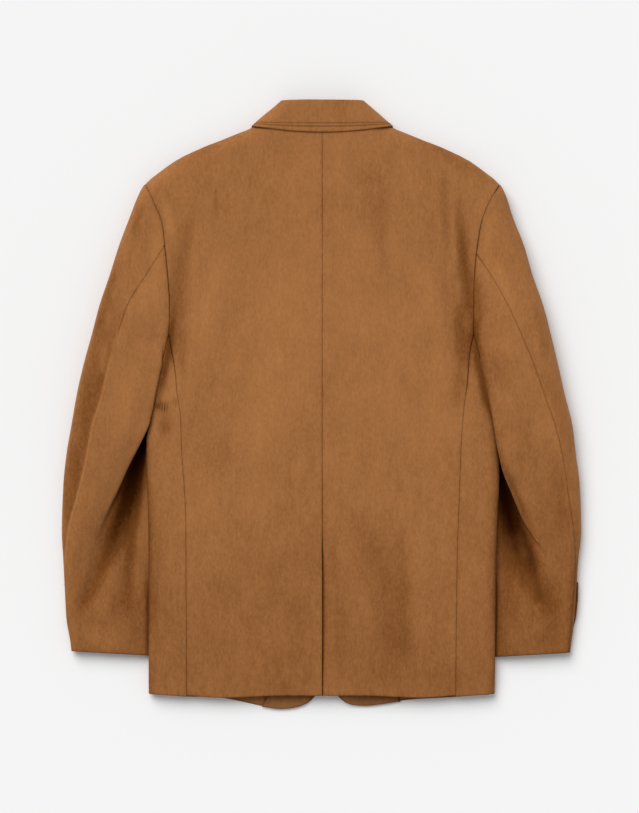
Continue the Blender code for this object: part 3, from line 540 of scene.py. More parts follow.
def front_low(side, out, y):
    """Outer face of a front, which is its lower one."""
    turned = cover(out, y, collar_lapel_ring(), TURNED_MARGIN)
    level = floor_lift(side, out, y) + (WALL + LOOSE) * turned
    level = level + side_lift(out, y)
    return EDGE_MID - (EDGE_MID - level) * turn_in(from_shoulder(out, y), EDGE_WIDTH)


def sleeve_outer(side, y):
    """Where the sleeve's outline is, and how much its slant widens a turn there."""
    out = smooth(y, OUTLINE_Y, OUTLINE[side])
    slant = (smooth(np.asarray(y) + 2.0, OUTLINE_Y, OUTLINE[side]) - out) / 2.0
    return out, np.hypot(1.0, slant)


def sleeve_mid(y):
    """Height of the sleeve's outer fold."""
    crown = curve(SLEEVE_HEIGHT, y)
    return 0.5 * crown + (EDGE_MID - 0.5 * crown) * ease(y, *SHOULDER_BLEND)


def sleeve_top(side, out, y):
    """Outer face of a sleeve on its upper side."""
    crown = curve(SLEEVE_HEIGHT, y)
    seam = curve(ARMHOLE[side], y)
    joined = body_top(seam, y)
    blend = ease(np.asarray(out, float) - seam, 0, ARMHOLE_BLEND)
    above = ease(y, *ARMHOLE_FADE)
    level = crown + (joined - crown) * (1 - blend) * above
    mid = sleeve_mid(y)
    edge, slant = sleeve_outer(side, y)
    return mid + (level - mid) * turn_in((edge - out) / slant, fold_width(mid))


def side_path(side, y):
    """Section of a side panel: top seam, round the body's edge, to the front."""
    edge = float(body_edge(side, y))
    seam = float(curve(SIDE_SEAM[side], y)) + SEAM
    high = float(body_top(seam, y))
    low = float(front_low(side, FRONT_SIDE + 10, y))
    mid = (high + low) / 2
    width = min(SIDE_WIDTH, 1.7 * (high - mid))
    path = []
    for out in np.linspace(seam, edge - width, 8):
        path.append((out, high))
    for angle in np.linspace(math.pi / 2, -math.pi / 2, 25)[1:-1]:
        out = edge - width * (1 - math.cos(angle))
        path.append((out, mid + (high - mid) * math.sin(angle)))
    for out in np.linspace(edge - width, FRONT_SIDE + SEAM, 10):
        path.append((out, float(front_low(side, out, y))))
    return np.array(path)


def side_panel(side, columns, rows, levels):
    """Side panel: columns run up from the hem to the armhole."""
    heights = np.linspace(SIDE_LOW_Y, SIDE_TOP_Y, levels)
    sections = np.array([spread(side_path(side, y), columns, 14.0) for y in heights])
    down = SIDE_TOP_Y - heights
    # the panel stays clear of the sleeve's fold, closer at the top, and of the armhole
    clear = 0.12 + 0.2 * ease(down, 20, 34) + 2.4 * ease(down, 34, 62)
    foot = smooth(heights, FOLD_Y, FOLD[side]["foot"]) - clear
    arm = curve(FRONT_ARMHOLE, heights) - 2.4
    points = np.zeros((rows, columns, 3))
    for k in range(columns):
        out = sections[:, k, 0]
        level = sections[:, k, 1]
        upper = level > (sections[:, 0, 1] + sections[:, -1, 1]) / 2
        limit = np.where(upper, foot, arm)
        blocked = np.where((heights > UNDERARM_Y - 2) & (out > limit))[0]
        top = heights[blocked[0]] if len(blocked) else heights[-1]
        if k == 0:
            top = SIDE_TOP_Y - 0.6
        hem = SIDE_HEM_Y - SIDE_HEM_DROP * (1 - math.sin(math.pi * k / (columns - 1)))
        along = np.linspace(hem, top, rows)
        points[:, k, 0] = np.interp(along, heights, out)
        points[:, k, 1] = along
        points[:, k, 2] = np.interp(along, heights, level)
    return points


def back_edges(side):
    """The four edges of a back panel in plan."""
    low = np.linspace(*BACK_SIDE_Y)
    high = np.linspace(*BACK_ARM_Y)
    outer = np.vstack((
        np.column_stack((curve(SIDE_SEAM[side], low) - SEAM, low)),
        np.column_stack((curve(ARMHOLE[side], high) - SEAM, high)),
    ))
    hem = dense((*BACK_HEM, tuple(outer[0])), 8)
    slope = dense((BACK_NECK[-1], *shoulder_points(), tuple(outer[-1])), 6)
    return hem, np.vstack((dense(BACK_NECK, 8), slope[1:])), outer


def back_panel(side, columns, rows):
    """A back panel, flat over the body and turned in along the shoulder."""
    hem, top, outer = back_edges(side)
    centre = np.array(((SEAM, HEM_Y), (SEAM, NECK_Y)))
    plan = patch(hem, top, centre, outer, columns, rows, SHOULDER_CROWD)
    return off_shoulder(np.dstack((plan, body_top(plan[..., 0], plan[..., 1]))), SHOULDER_GAP)


def front_panel(side, columns, rows):
    """A front, from its side seam and armhole to its edge, roll line and neck."""
    arm = [(out, y) for out, y in zip(FRONT_ARMHOLE["out"], FRONT_ARMHOLE["y"]) if y > 70]
    outer = [(FRONT_SIDE - SEAM, y) for y in (-389.5, -150, 60)]
    outer += [(out - 1.4, y) for out, y in arm]
    roll = [(FRONT_EDGE_X + 1.2, BREAK_Y + 4), (ROLL_TOP[0] + 2.5, ROLL_TOP[1] - 4)]
    edge = dense(FRONT_EDGE[side], 6)
    inner = np.vstack((edge, roll, GORGE, dense(FRONT_NECK, 6)[1:]))
    top = (FRONT_NECK[-1], *shoulder_points(), outer[-1])
    plan = patch(dense(FRONT_HEM[side][::-1], 8), dense(top, 6), inner, dense(outer, 6),
                 columns, rows, SHOULDER_CROWD)
    level = front_low(side, plan[..., 0], plan[..., 1])
    return off_shoulder(np.dstack((plan, level)), -SHOULDER_GAP)


def facing(front, seam_column):
    """Facing inside a front's lower edge, made from the front's own points."""
    rows = front[front[:, 0, 1] < BREAK_Y - 10][:, :seam_column + 1]
    return rows + (0.0, 0.0, 2 * WALL + 2 * SLIP)


def lapel(side, columns, rows, turns):
    """Lapel: turned back under the front, round the roll line, and a little inside."""
    roll = np.array(((FRONT_EDGE_X + 1.0, BREAK_Y + 6), ROLL_TOP), float)
    outer = dense(LAPEL_EDGE, 8)
    bottom = np.array((roll[0], outer[0] + (1.5, 0)))
    gorge = np.array((ROLL_TOP, *LAPEL_GORGE), float)
    plan = patch(bottom, gorge, roll, outer, columns, rows)[:, ::-1]
    level = floor_lift(side, plan[..., 0], plan[..., 1])
    flat = np.dstack((plan, level))
    low = flat[:, -1, 2]
    stack = 3 * WALL + 2 * LOOSE
    line = spread(roll, rows)
    turn = []
    for angle in np.linspace(-math.pi / 2, math.pi / 2, turns)[1:-1]:
        out = line[:, 0] - ROLL_RADIUS * math.cos(angle)
        turn.append(np.column_stack((out, line[:, 1], low + stack / 2 * (1 + math.sin(angle)))))
    for step in ROLL_INSIDE:
        lift = front_low(side, line[:, 0] + step + 3, line[:, 1]) - low - WALL - LOOSE
        level = low + stack + np.maximum(lift, 0)
        turn.append(np.column_stack((line[:, 0] + step, line[:, 1], level)))
    return np.concatenate((flat, np.stack(turn, axis=1)), axis=1)


def collar_plan(level, columns):
    """The line round the neck at a level from the collar's edge (0) to its fold (1)."""
    edge = np.array(COLLAR_TURN["edge"])
    fold = np.array(COLLAR_TURN["fold"])
    turn = edge + (fold - edge) * level
    centre = COLLAR_EDGE_CENTRE + (COLLAR_FOLD_Y - COLLAR_EDGE_CENTRE) * level
    angle = np.linspace(-math.pi / 2, math.pi / 2, columns * 2 - 1)
    back = np.column_stack((turn[0] * np.sin(angle), np.zeros(len(angle))))
    back[:, 1] = centre + (turn[1] - centre) * np.abs(back[:, 0] / turn[0]) ** 2
    low = spread(dense(COLLAR_FRONT_EDGE[::-1], 8), columns, crowd=1.7)[::-1]
    high = spread(dense(COLLAR_FRONT_FOLD[::-1], 8), columns, crowd=1.7)[::-1]
    front = low + (high - low) * level
    left = front[::-1] * (-1, 1)
    plan = np.vstack((left[:-1], back, front[1:]))
    upper = np.concatenate((-np.ones(columns - 1), np.ones(len(back)), -np.ones(columns - 1)))
    upper[columns - 1] = 0
    upper[-columns] = 0
    return plan, upper


def stand_plan(level, columns):
    """The stand's line, narrower than the fall's where both pass over the shoulder."""
    plan, upper = collar_plan(level, columns)
    edge = COLLAR_TURN["edge"][0]
    widest = edge + (COLLAR_TURN["fold"][0] - edge) * level
    along = np.abs(np.arange(len(plan)) - (len(plan) - 1) / 2) - (columns - 1)
    fade = 1 - ease(along, 0, columns * 0.55)
    plan[:, 0] *= 1 - STAND_IN * fade / widest
    return plan, upper


def collar_point_height(plan, upper, reach, narrow):
    """Height of a collar layer that stands off the neck's opening by a reach."""
    out = np.abs(plan[:, 0])
    y = plan[:, 1]
    turn = np.array((COLLAR_TURN["edge"], COLLAR_TURN["fold"]), float)
    turn[:, 0] -= narrow
    run = turn[1] - turn[0]
    normal = np.array((run[1], -run[0])) / np.hypot(*run)
    depth = np.abs((out - turn[0, 0]) * normal[0] + (y - turn[0, 1]) * normal[1])
    depth = np.where(upper == 0, 0.0, depth)
    side = np.where(plan[:, 0] < 0, 0.0, 1.0)
    stack = left_stack(plan[:, 0], y) * side
    high = COLLAR_HIGH + reach
    low = WALL + SLIP - reach + stack
    level = np.where(upper > 0, high, low)
    return EDGE_MID + (level - EDGE_MID) * turn_in(depth, np.where(upper > 0, 18.0, 13.0))


def collar(columns, fall_levels):
    """Collar: the fall, the fold along its top, and the stand down to the neck seam."""
    lines = []
    for level in fall_levels:
        plan, upper = collar_plan(level, columns)
        z = collar_point_height(plan, upper, WALL + SLIP, 0.0)
        lines.append(np.column_stack((plan, z)))
    plan, upper = collar_plan(1.0, columns)
    lines.append(np.column_stack((plan, collar_point_height(plan, upper, 0.0, 0.0))))
    stand_levels = [level for level in fall_levels[::-1] if level > STAND_SEAM + 0.1]
    for level in stand_levels + [STAND_SEAM]:
        plan, upper = stand_plan(level, columns)
        z = collar_point_height(plan, upper, -2.0, STAND_IN)
        lines.append(np.column_stack((plan, z)))
    return np.array(lines)


def topsleeve_path(side, y):
    """Section of a topsleeve: elbow seam, round the outer fold, to the inner seam."""
    if y > ELBOW[side]["y"][-1]:
        start = float(curve(ARMHOLE[side], y)) + 2 * SEAM
    else:
        start = float(curve(ELBOW[side], y)) + SEAM
    outer, slant = [float(v) for v in sleeve_outer(side, y)]
    if y > UNDERARM_Y:
        end = float(curve(FRONT_ARMHOLE, y)) + 2 * SEAM
    else:
        # the inner seam lies under the body, beside the undersleeve's tucked edge
        end = float(smooth(y, FOLD_Y, FOLD["inner"]))
        end = end + 4.4 + 9.0 * float(ease(-y, 24, 70)) + 5.0 * float(ease(y, -80, -50))
    mid = float(sleeve_mid(y))
    width = float(fold_width(mid)) * slant
    above = math.acos(max(1 - (outer - start) / width, 0.0))
    below = math.acos(max(1 - (outer - end) / width, 0.0))
    path = [(out, float(sleeve_top(side, out, y)))
            for out in np.linspace(start, outer - width, 10)[:-1] if start < outer - width]
    for angle in np.linspace(above, -below, 28):
        out = outer - width * (1 - math.cos(angle))
        if angle > 0:
            path.append((out, float(sleeve_top(side, out, y))))
        else:
            path.append((out, mid * (1 + math.sin(angle))))
    path += [(out, 0.0) for out in np.linspace(outer - width, end, 10)[1:] if end < outer - width]
    return np.array(path)


def fold_row(side, y):
    """The sleeve's fold at a height: lip, foot, inner edge, base and rise."""
    at = [float(smooth(y, FOLD_Y, column)) for column in (
        FOLD[side]["lip"], FOLD[side]["foot"], FOLD["inner"], FOLD["base"], FOLD["rise"])]
    if y > FOLD_Y[0]:
        seam = float(curve(ARMHOLE[side], y)) + 2 * SEAM
        at = [seam, seam, seam, float(body_top(seam, y)), 0.0]
    return at


def undersleeve_path(side, y):
    """Section of an undersleeve: elbow seam, fold, and the layer under the body."""
    start = float(curve(ELBOW[side], y)) - SEAM
    lip, foot, inner, base, rise = fold_row(side, y)
    # puff: 1 where the fold stands up, 0 where it is a slope
    puff = float(ease(rise, 0.0, 8.0))
    puff *= 1.0 - float(ease(-y, *SOFT_FOLD[side]))
    tuck = float(curve(TUCK, y))
    slack = min(0.5 * (start - foot), SLACK)
    # over: 1 where the lip lies on the body, 0 where it hangs beside it
    edge = float(body_edge(side, y))
    over = puff * (1 - float(ease(lip - edge, -4.0, 24.0)))
    body = float(body_top(edge - SIDE_WIDTH, y))
    top = float(sleeve_top(side, start, y))
    crest = float(sleeve_top(side, (start + foot + slack) / 2, y))
    # heights of the fold's round, of its lip, and of where it turns under the lip
    bulge = base + rise
    tip = base + rise * 0.5
    tip += (body + 3.2 - tip) * over
    bulge = max(bulge, tip + 4.0 * puff)
    tail = base + rise * 0.16 + 0.3
    tail += (base + 0.55 * (body - base) - tail) * over
    span = start - foot
    # the same points on the slope and on the fold, mixed by the puff
    flat = [(foot + span * part, base + (crest - base) * float(ease(part, 0, 0.9)))
            for part in SLOPE_PARTS]
    fold = [(foot + slack, crest * 0.75 + (bulge + 1.0) * 0.25),
            (foot + min(7.0, slack * 0.6), bulge), (lip + 0.8, (bulge + tip) / 2 + 0.1),
            (lip, tip), (foot - 0.2, tail)]
    stub_flat = [(foot + span * 0.015 * k, base) for k in (5, 4, 3, 2, 1, 0)]
    stub_fold = [(foot + 0.05 * k, base + 0.4 - 0.16 * k) for k in range(6)]
    flat = np.array(flat + stub_flat)
    mixed = flat + (np.array(fold + stub_fold) - flat) * puff
    high_out = foot + span * SLOPE_TOP
    path = [(start, top), (high_out, float(sleeve_top(side, high_out, y)))]
    path += [tuple(p) for p in mixed[:5]]
    stub = mixed[5:]
    # the tucked layer: in under the body, round its inner edge, and out to the seam
    near = min(foot - 1.0, 240.0 - 2.0 * float(ease(-y, 190, 250)))
    low = min(base, TUCK_LOW)
    high = low + (min(base, TUCK_HIGH) - low) * float(ease(-y, 190, 270))
    inner = min(inner, near - 5.0)
    wide = 9.0 * float(ease(-y, 24, 70))
    under = np.array(((near, high), (max(228.5, inner + 3.5), low),
                      (inner + 2.6, low - 0.1), (inner, low / 2),
                      (inner + 2.6, 0.1), (inner + 3.0 + wide - 0.4, 0.0)))
    path += [tuple(p) for p in stub + (under - stub) * tuck]
    path = dense(path, 8)
    path[:, 1] = np.maximum(path[:, 1], 0.0)
    return path


def cuff_skew(side, out, y):
    """Tilt the sleeve's lowest rows to follow its cuff."""
    line = CUFF_END_Y[side] - CUFF_DROP * (CUFF_END_X - np.asarray(out, float))
    return y + (line - CUFF_Y) * ease(-y, 240, -CUFF_Y)


def sleeve(side, kind, columns, heights):
    """One half of a sleeve, as a section for each height."""
    points = np.zeros((len(heights), columns, 3))
    for row, y in enumerate(heights):
        if kind == "upper":
            section = spread(topsleeve_path(side, y), columns, 16.0)
        else:
            section = spread(undersleeve_path(side, y), columns, 9.0)
        points[row, :, 0] = section[:, 0]
        points[row, :, 1] = cuff_skew(side, section[:, 0], y)
        points[row, :, 2] = section[:, 1]
    return points


def cuff_lap(side, columns, rows):
    """Underlap of a cuff's vent, made from the sleeve's outer fold moved in or out."""
    heights = np.linspace(*CUFF_LAP_Y, rows)
    points = np.zeros((rows, columns, 3))
    for row, y in enumerate(heights):
        outer = float(sleeve_outer(side, y)[0])
        mid = float(sleeve_mid(y))
        width = float(fold_width(mid))
        off = WALL + SLIP + 1.0 * math.exp(-((y + 258.0) / 16.0) ** 2)
        reach = (0.10 - 0.6 * float(ease(-y, 276, 298)), -0.85)
        if side == "left":
            off = -WALL - LOOSE - SLIP
            reach = (1.1, -1.2)
        for k, angle in enumerate(np.linspace(reach[0], reach[1], columns)):
            out = outer - width * (1 - math.cos(angle)) + off * math.cos(angle)
            level = mid * (1 + math.sin(angle)) + off * math.sin(angle)
            points[row, k] = (out, y, max(level, 0.0))
    return points


# Creases that show from above: depth (below 0 is a trough), width, and plan points.
TOP_CREASES = (
    # left back, from the shoulder down along the armhole
    (-1.3, 9, (-158, 304), (-152, 262), (-146, 226)),
    (-2.6, 11, (-171, 262), (-182, 205), (-190, 140), (-189, 84), (-184, 30)),
    (1.0, 12, (-150, 236), (-164, 176), (-170, 110), (-168, 50)),
    (-0.7, 9, (-98, 285), (-94, 245), (-97, 205)),
    (-0.5, 16, (-120, 200), (-128, 120), (-122, 40)),
    # right back
    (-2.6, 8, (184, 300), (184, 250), (188, 190), (193, 130), (192, 96)),
    (-1.7, 9, (168, 334), (169, 262), (168, 180), (172, 100), (178, 30), (180, -20)),
    (0.7, 5, (176, 290), (177, 220), (179, 150)),
    (-0.7, 8, (154, 300), (153, 220), (150, 160)),
    (-0.8, 11, (78, 280), (80, 235), (74, 190)),
    (-1.8, 19, (44, -128), (62, -182), (88, -240), (97, -305), (84, -396)),
    (0.7, 14, (28, -190), (40, -260), (38, -340)),
    (0.8, 18, (128, -150), (134, -240), (128, -330)),
    (-0.5, 15, (104, -40), (86, -100), (62, -136)),
    # left back, lower half
    (-0.9, 13, (-52, -190), (-58, -250), (-50, -320)),
    (-0.7, 16, (-108, -230), (-100, -300), (-108, -370)),
    (0.6, 20, (-140, -60), (-132, -150), (-138, -220)),
    (-0.8, 3.4, (-46, -352), (-26, -370), (-6, -382)),
    (0.5, 3.0, (-38, -372), (-20, -381), (-4, -387)),
    (-0.5, 4.5, (-70, -336), (-56, -352), (-48, -366)),
    # small puckers on the left side panel, by the lip
    (1.0, 4.5, (-226, 8), (-214, 4), (-203, 8)),
    (-1.2, 4.0, (-224, -6), (-212, -14), (-206, -30)),
    (-0.8, 2.6, (-201, 11), (-197, 6), (-194, 0)),
    (0.8, 5.0, (-218, -22), (-219, -38), (-214, -52)),
    (-0.7, 5.0, (-203, 42), (-200, 14), (-199, -20)),
    # faint crease across the right side panel
    (-0.7, 2.2, (191, -33), (206, -27), (224, -29)),
    (0.4, 4.0, (196, -44), (210, -40), (226, -44)),
    # left sleeve
    (-3.0, 10, (-268, -138), (-286, -178), (-299, -212), (-308, -242), (-330, -276)),
    (-1.9, 8, (-257, -186), (-261, -240), (-269, -276), (-279, -300)),
    (1.4, 9, (-280, -206), (-282, -250), (-292, -296)),
    (-1.2, 8, (-322, -60), (-332, -120), (-335, -170)),
    (-0.9, 12, (-262, 190), (-268, 120), (-290, 60)),
    (-0.8, 10, (-243, 246), (-254, 196), (-262, 150)),
    (1.0, 14, (-240, 60), (-256, -10), (-286, -60)),
    # right sleeve
    (-2.8, 9, (252, -150), (266, -188), (286, -218), (298, -248), (313, -284)),
    (-1.0, 9, (250, -250), (262, -290), (262, -322)),
    (0.9, 9, (288, -256), (292, -290), (290, -322)),
    (-1.0, 9, (247, 270), (256, 232), (266, 190)),
    (0.9, 14, (250, 96), (262, 40), (280, -30), (300, -90)),
    (-0.8, 8, (232, 70), (246, 10), (252, -30)),
    (-0.9, 9, (318, -20), (328, -80), (330, -140)),
)
# Creases of the underside, kept above the surface it lies on.
UNDER_CREASES = (
    (-1.6, 13, (-120, 240), (-138, 160), (-150, 90)),
    (-1.1, 16, (-70, 60), (-96, -20), (-98, -120)),
    (-1.3, 14, (-130, -60), (-122, -180), (-130, -300)),
    (-1.0, 13, (-60, -200), (-70, -280), (-64, -370)),
    (-1.2, 10, (-176, -230), (-168, -310), (-172, -370)),
    (-1.5, 12, (124, 232), (142, 150), (150, 60)),
    (-1.2, 15, (84, 10), (104, -80), (100, -170)),
    (-1.3, 15, (140, -110), (132, -220), (140, -330)),
    (-0.9, 12, (64, -240), (76, -310), (70, -380)),
    (-1.5, 12, (-262, 120), (-280, 40), (-296, -60)),
    (-1.3, 11, (-300, -120), (-296, -200), (-306, -290)),
    (-1.2, 10, (-250, -90), (-262, -170), (-262, -260)),
    (-1.4, 12, (256, 130), (276, 50), (290, -40)),
    (-1.2, 10, (298, -110), (292, -190), (300, -280)),
    (-1.1, 11, (252, -100), (260, -190), (256, -270)),
)
# Stretches of the seams where the painted shade is darker, in the same form.
DARKER_SEAM_SHADE = (
    (1.9, 9, (-220, 270), (-209, 205), (-205, 150), (-204, 100)),
    (1.7, 9, (222, 272), (207, 222), (203, 190), (201, 150)),
    (2.2, 6, (202, 124), (198, 76), (194, 40), (190, 0)),
    (1.2, 6, (-205, 104), (-202, 76), (-197, 44), (-194, 10)),
    (0.7, 9, (0, -60), (0, -160), (0, -240)),
)
# Places painted darker (below 0, painted shade) or lighter (painted light), in the same form; most
# stand for the shading of folds, troughs, the lip and the shoulders, some for the nap.
SHADE_AND_NAP_ROWS = (
    # beside the left armhole and down the lip of that sleeve
    (-0.25, 6.0, (-204, 190), (-200, 150), (-197, 118), (-200, 84), (-204, 30)),
    (-0.09, 5.0, (-203, 236), (-200, 200), (-197, 150)),
    (-0.07, 4.5, (-186, 262), (-189, 220), (-192, 150), (-190, 96)),
    (-0.22, 9, (-172, 284), (-178, 240), (-186, 150), (-184, 60)),
    (-0.56, 5.0, (-199, 140), (-203, 96), (-206, 66), (-211, 40), (-217, 14), (-224, -16)),
    (-0.07, 6.0, (-206, 110), (-214, 60), (-224, 14), (-232, -20)),
    (0.21, 9.0, (-222, 262), (-222, 200), (-221, 150), (-224, 96)),
    (0.21, 5.0, (-212, 280), (-206, 250), (-202, 222)),
    (0.10, 7.0, (-192, 66), (-194, 40), (-202, 10), (-206, -10)),
    # puckers on the left side panel, by the lip
    (-0.70, 3.4, (-227, 0), (-219, -1), (-211, -2), (-202, -6)),
    (0.10, 5.0, (-222, 12), (-210, 13), (-200, 11), (-190, 12)),
    (-0.39, 2.4, (-199, 11), (-196.5, 6), (-195, 0)),
    (-0.29, 7.0, (-216, -12), (-210, -22), (-208, -44)),
    # beside the right armhole and down the lip of that sleeve
    (-0.44, 8.0, (180, 292), (183, 262), (187, 230), (190, 192), (195, 160), (198, 104),
     (200, 60)),
    (0.06, 7.0, (201, 196), (200, 150), (200, 110), (204, 70)),
    (-0.17, 6.5, (162, 345), (162, 290), (164, 240), (170, 180)),
    (-0.36, 9, (180, 190), (182, 130), (182, 66), (184, 20)),
    (-0.54, 6.5, (202, 128), (205, 86), (207, 60), (212, 36), (217, 8), (225, -30)),
    (-0.16, 8.0, (206, 124), (214, 70), (222, 20), (232, -30)),
    (-0.26, 3.4, (214, 30), (224, -10), (232, -46), (236, -70)),
    (0.06, 7.0, (222, 262), (220, 230), (216, 190), (218, 150)),
    # the right sleeve's lip, and the fold of cloth beside it
    (-0.41, 6.0, (228, -30), (240, -78), (255, -112), (270, -146), (290, -188)),
    (-0.03, 18.0, (232, -40), (258, -90), (290, -130), (300, -200)),
    (-0.11, 26.0, (246, 40), (276, -60), (306, -150), (322, -230)),
    # the long soft creases of the right back, below the waist
    (-0.14, 20, (40, -110), (60, -182), (86, -240), (97, -310), (90, -400)),
    (-0.13, 13, (14, -240), (22, -300), (20, -372)),
    (-0.15, 12, (112, -210), (110, -280), (108, -360)),
    (-0.07, 24, (0, -352), (70, -362), (160, -366), (260, -366)),
    (-0.07, 5.0, (0.5, -90), (1, -160), (2, -230), (2, -470)),
    # the left forearm's hollow
    (-0.03, 14, (-246, -120), (-264, -180), (-270, -260)),
    # the forearms
    (-0.28, 11, (-240, -80), (-262, -140), (-276, -172), (-292, -208), (-309, -249), (-334, -290)),
    (-0.29, 8, (-252, -150), (-257, -220), (-262, -300)),
    (0.15, 14, (-344, -276), (-322, -300), (-290, -312), (-250, -322)),
    (-0.18, 12, (250, -130), (268, -190), (290, -225), (318, -296)),
    (-0.11, 10, (244, -190), (250, -240), (256, -300)),
    # where the shoulders turn down
    (-0.24, 13, (110, 362), (160, 340), (200, 316), (234, 292)),
    (-0.16, 10, (-120, 360), (-170, 336), (-214, 308)),
    # softer rises and falls over the back
    (0.15, 14, (-136, 240), (-134, 200), (-150, 150), (-160, 80), (-162, 20)),
    (0.13, 34, (-150, -60), (-146, -120), (-144, -200), (-150, -260)),
    (0.15, 16, (134, 200), (138, 150), (140, 90)),
    (0.22, 6, (180, 180), (181, 150), (182, 120)),
    (-0.28, 7, (194, 110), (193, 76), (192, 40)),
    (-0.16, 8, (184, 60), (180, 20), (176, -20)),
    (-0.21, 7, (-188, 120), (-187, 80), (-186, 20)),
    (-0.12, 7, (14, -140), (15, -220), (16, -280)),
    (-0.13, 13, (104, -150), (104, -220), (106, -290)),
    (-0.14, 7, (74, 260), (80, 220), (86, 170)),
    (-0.11, 26, (66, 340), (64, 280), (60, 220)),
    (-0.13, 6, (-142, 300), (-142, 255), (-146, 220)),
    # and over the sleeves
    (0.26, 9, (-232, 186), (-236, 150), (-246, 110)),
    (0.26, 7, (-286, 96), (-292, 66), (-298, 34)),
    (-0.29, 7, (-262, 210), (-282, 160), (-296, 110), (-306, 70)),
    (-0.22, 6, (-236, 280), (-246, 250), (-258, 215)),
    (-0.16, 9, (-296, -228), (-314, -256), (-330, -276)),
    (0.16, 9, (228, 205), (238, 170), (250, 130), (256, 100)),
    (-0.27, 7, (205, 190), (207, 150), (208, 120), (206, 84)),
    (-0.18, 14, (222, 90), (232, 56), (246, 10)),
    (-0.13, 7, (276, 150), (290, 100), (302, 50)),
    (-0.16, 10, (306, -50), (318, -114), (322, -190)),
    (-0.14, 12, (284, -240), (298, -268), (312, -284)),
    (0.35, 8, (256, -160), (265, -187), (272, -214)),
    # lighter down the middle of the back
    (0.13, 50, (-60, 250), (-50, 100), (-60, -80)),
    (0.10, 50, (60, 180), (70, 60), (60, -60)),
    (0.12, 30, (-90, 80), (-84, -60), (-96, -200)),
)


def along(x, y, depth, width, line):
    """A crease's height at points in plan: soft across, and fading at both its ends."""
    line = dense(line, 6)
    run = np.diff(line, axis=0)
    length = np.hypot(run[:, 0], run[:, 1])
    before = np.concatenate(([0.0], np.cumsum(length)))
    best = np.full(np.shape(x), 1e9)
    part = np.zeros(np.shape(x))
    for k in range(len(run)):
        dx = x - line[k, 0]
        dy = y - line[k, 1]
        t = np.clip((dx * run[k, 0] + dy * run[k, 1]) / length[k] ** 2, 0.0, 1.0)
        distance = np.hypot(dx - t * run[k, 0], dy - t * run[k, 1])
        closer = distance < best
        best = np.where(closer, distance, best)
        part = np.where(closer, (before[k] + t * length[k]) / before[-1], part)
    fade = ease(part, 0.0, CREASE_FADE) * ease(1.0 - part, 0.0, CREASE_FADE)
    return depth * fade * np.exp(-(best / width) ** 2)


def field(x, y, rows):
    """Sum of the rows of a crease table, at points in plan."""
    total = np.zeros(np.shape(x))
    for depth, width, *line in rows:
        reach = 3.0 * width
        low = np.min(line, axis=0) - reach
        high = np.max(line, axis=0) + reach
        near = (x > low[0]) & (x < high[0]) & (y > low[1]) & (y < high[1])
        if near.any():
            total[near] += along(x[near], y[near], depth, width, line)
    return total


def waves(x, y, size, seed, reach=2.0):
    """Slow uneven rise and fall, the sum of a few waves in different directions."""
    maker = np.random.default_rng(seed)
    total = np.zeros(np.shape(x))
    for _ in range(7):
        angle = maker.uniform(0, 2 * math.pi)
        length = size * maker.uniform(0.7, reach)
        phase = maker.uniform(0, 2 * math.pi)
        flow = x * math.cos(angle) + 0.45 * y * math.sin(angle)
        total += np.sin(flow * 2 * math.pi / length + phase)
    return total / 7 ** 0.5


def refine(points, axis):
    """Add lines of points close to both ends of a grid, where its edges turn."""
    points = np.moveaxis(points, axis, 0)
    head = [points[0] + (points[1] - points[0]) * part for part in EDGE_STEPS]
    tail = [points[-1] + (points[-2] - points[-1]) * part for part in EDGE_STEPS[::-1]]
    points = np.concatenate((points[:1], head, points[1:-1], tail, points[-1:]))
    return np.moveaxis(points, 0, axis)


def run_in(points, axis):
    """Distance along the grid from its first line and from its last one."""
    step = np.linalg.norm(np.diff(points, axis=axis), axis=2)
    pad = [(0, 0), (0, 0)]
    pad[axis] = (1, 0)
    near = np.pad(np.cumsum(step, axis=axis), pad)
    far = near.take([-1], axis=axis) - near
    return near, far


def outward(points, flip):
    """Unit normals of a grid's outer face."""
    across = np.gradient(points, axis=1)
    up = np.gradient(points, axis=0)
    normal = np.cross(across, up)
    size = np.maximum(np.linalg.norm(normal, axis=2, keepdims=True), 1e-9)
    return normal / size * (-1.0 if flip else 1.0)


def roll(distance, width):
    """How far a rounded edge has dropped at a distance in from it, from 1 to 0."""
    t = np.clip(1.0 - distance / width, 0.0, 1.0)
    return 1.0 - np.sqrt(1.0 - t * t)


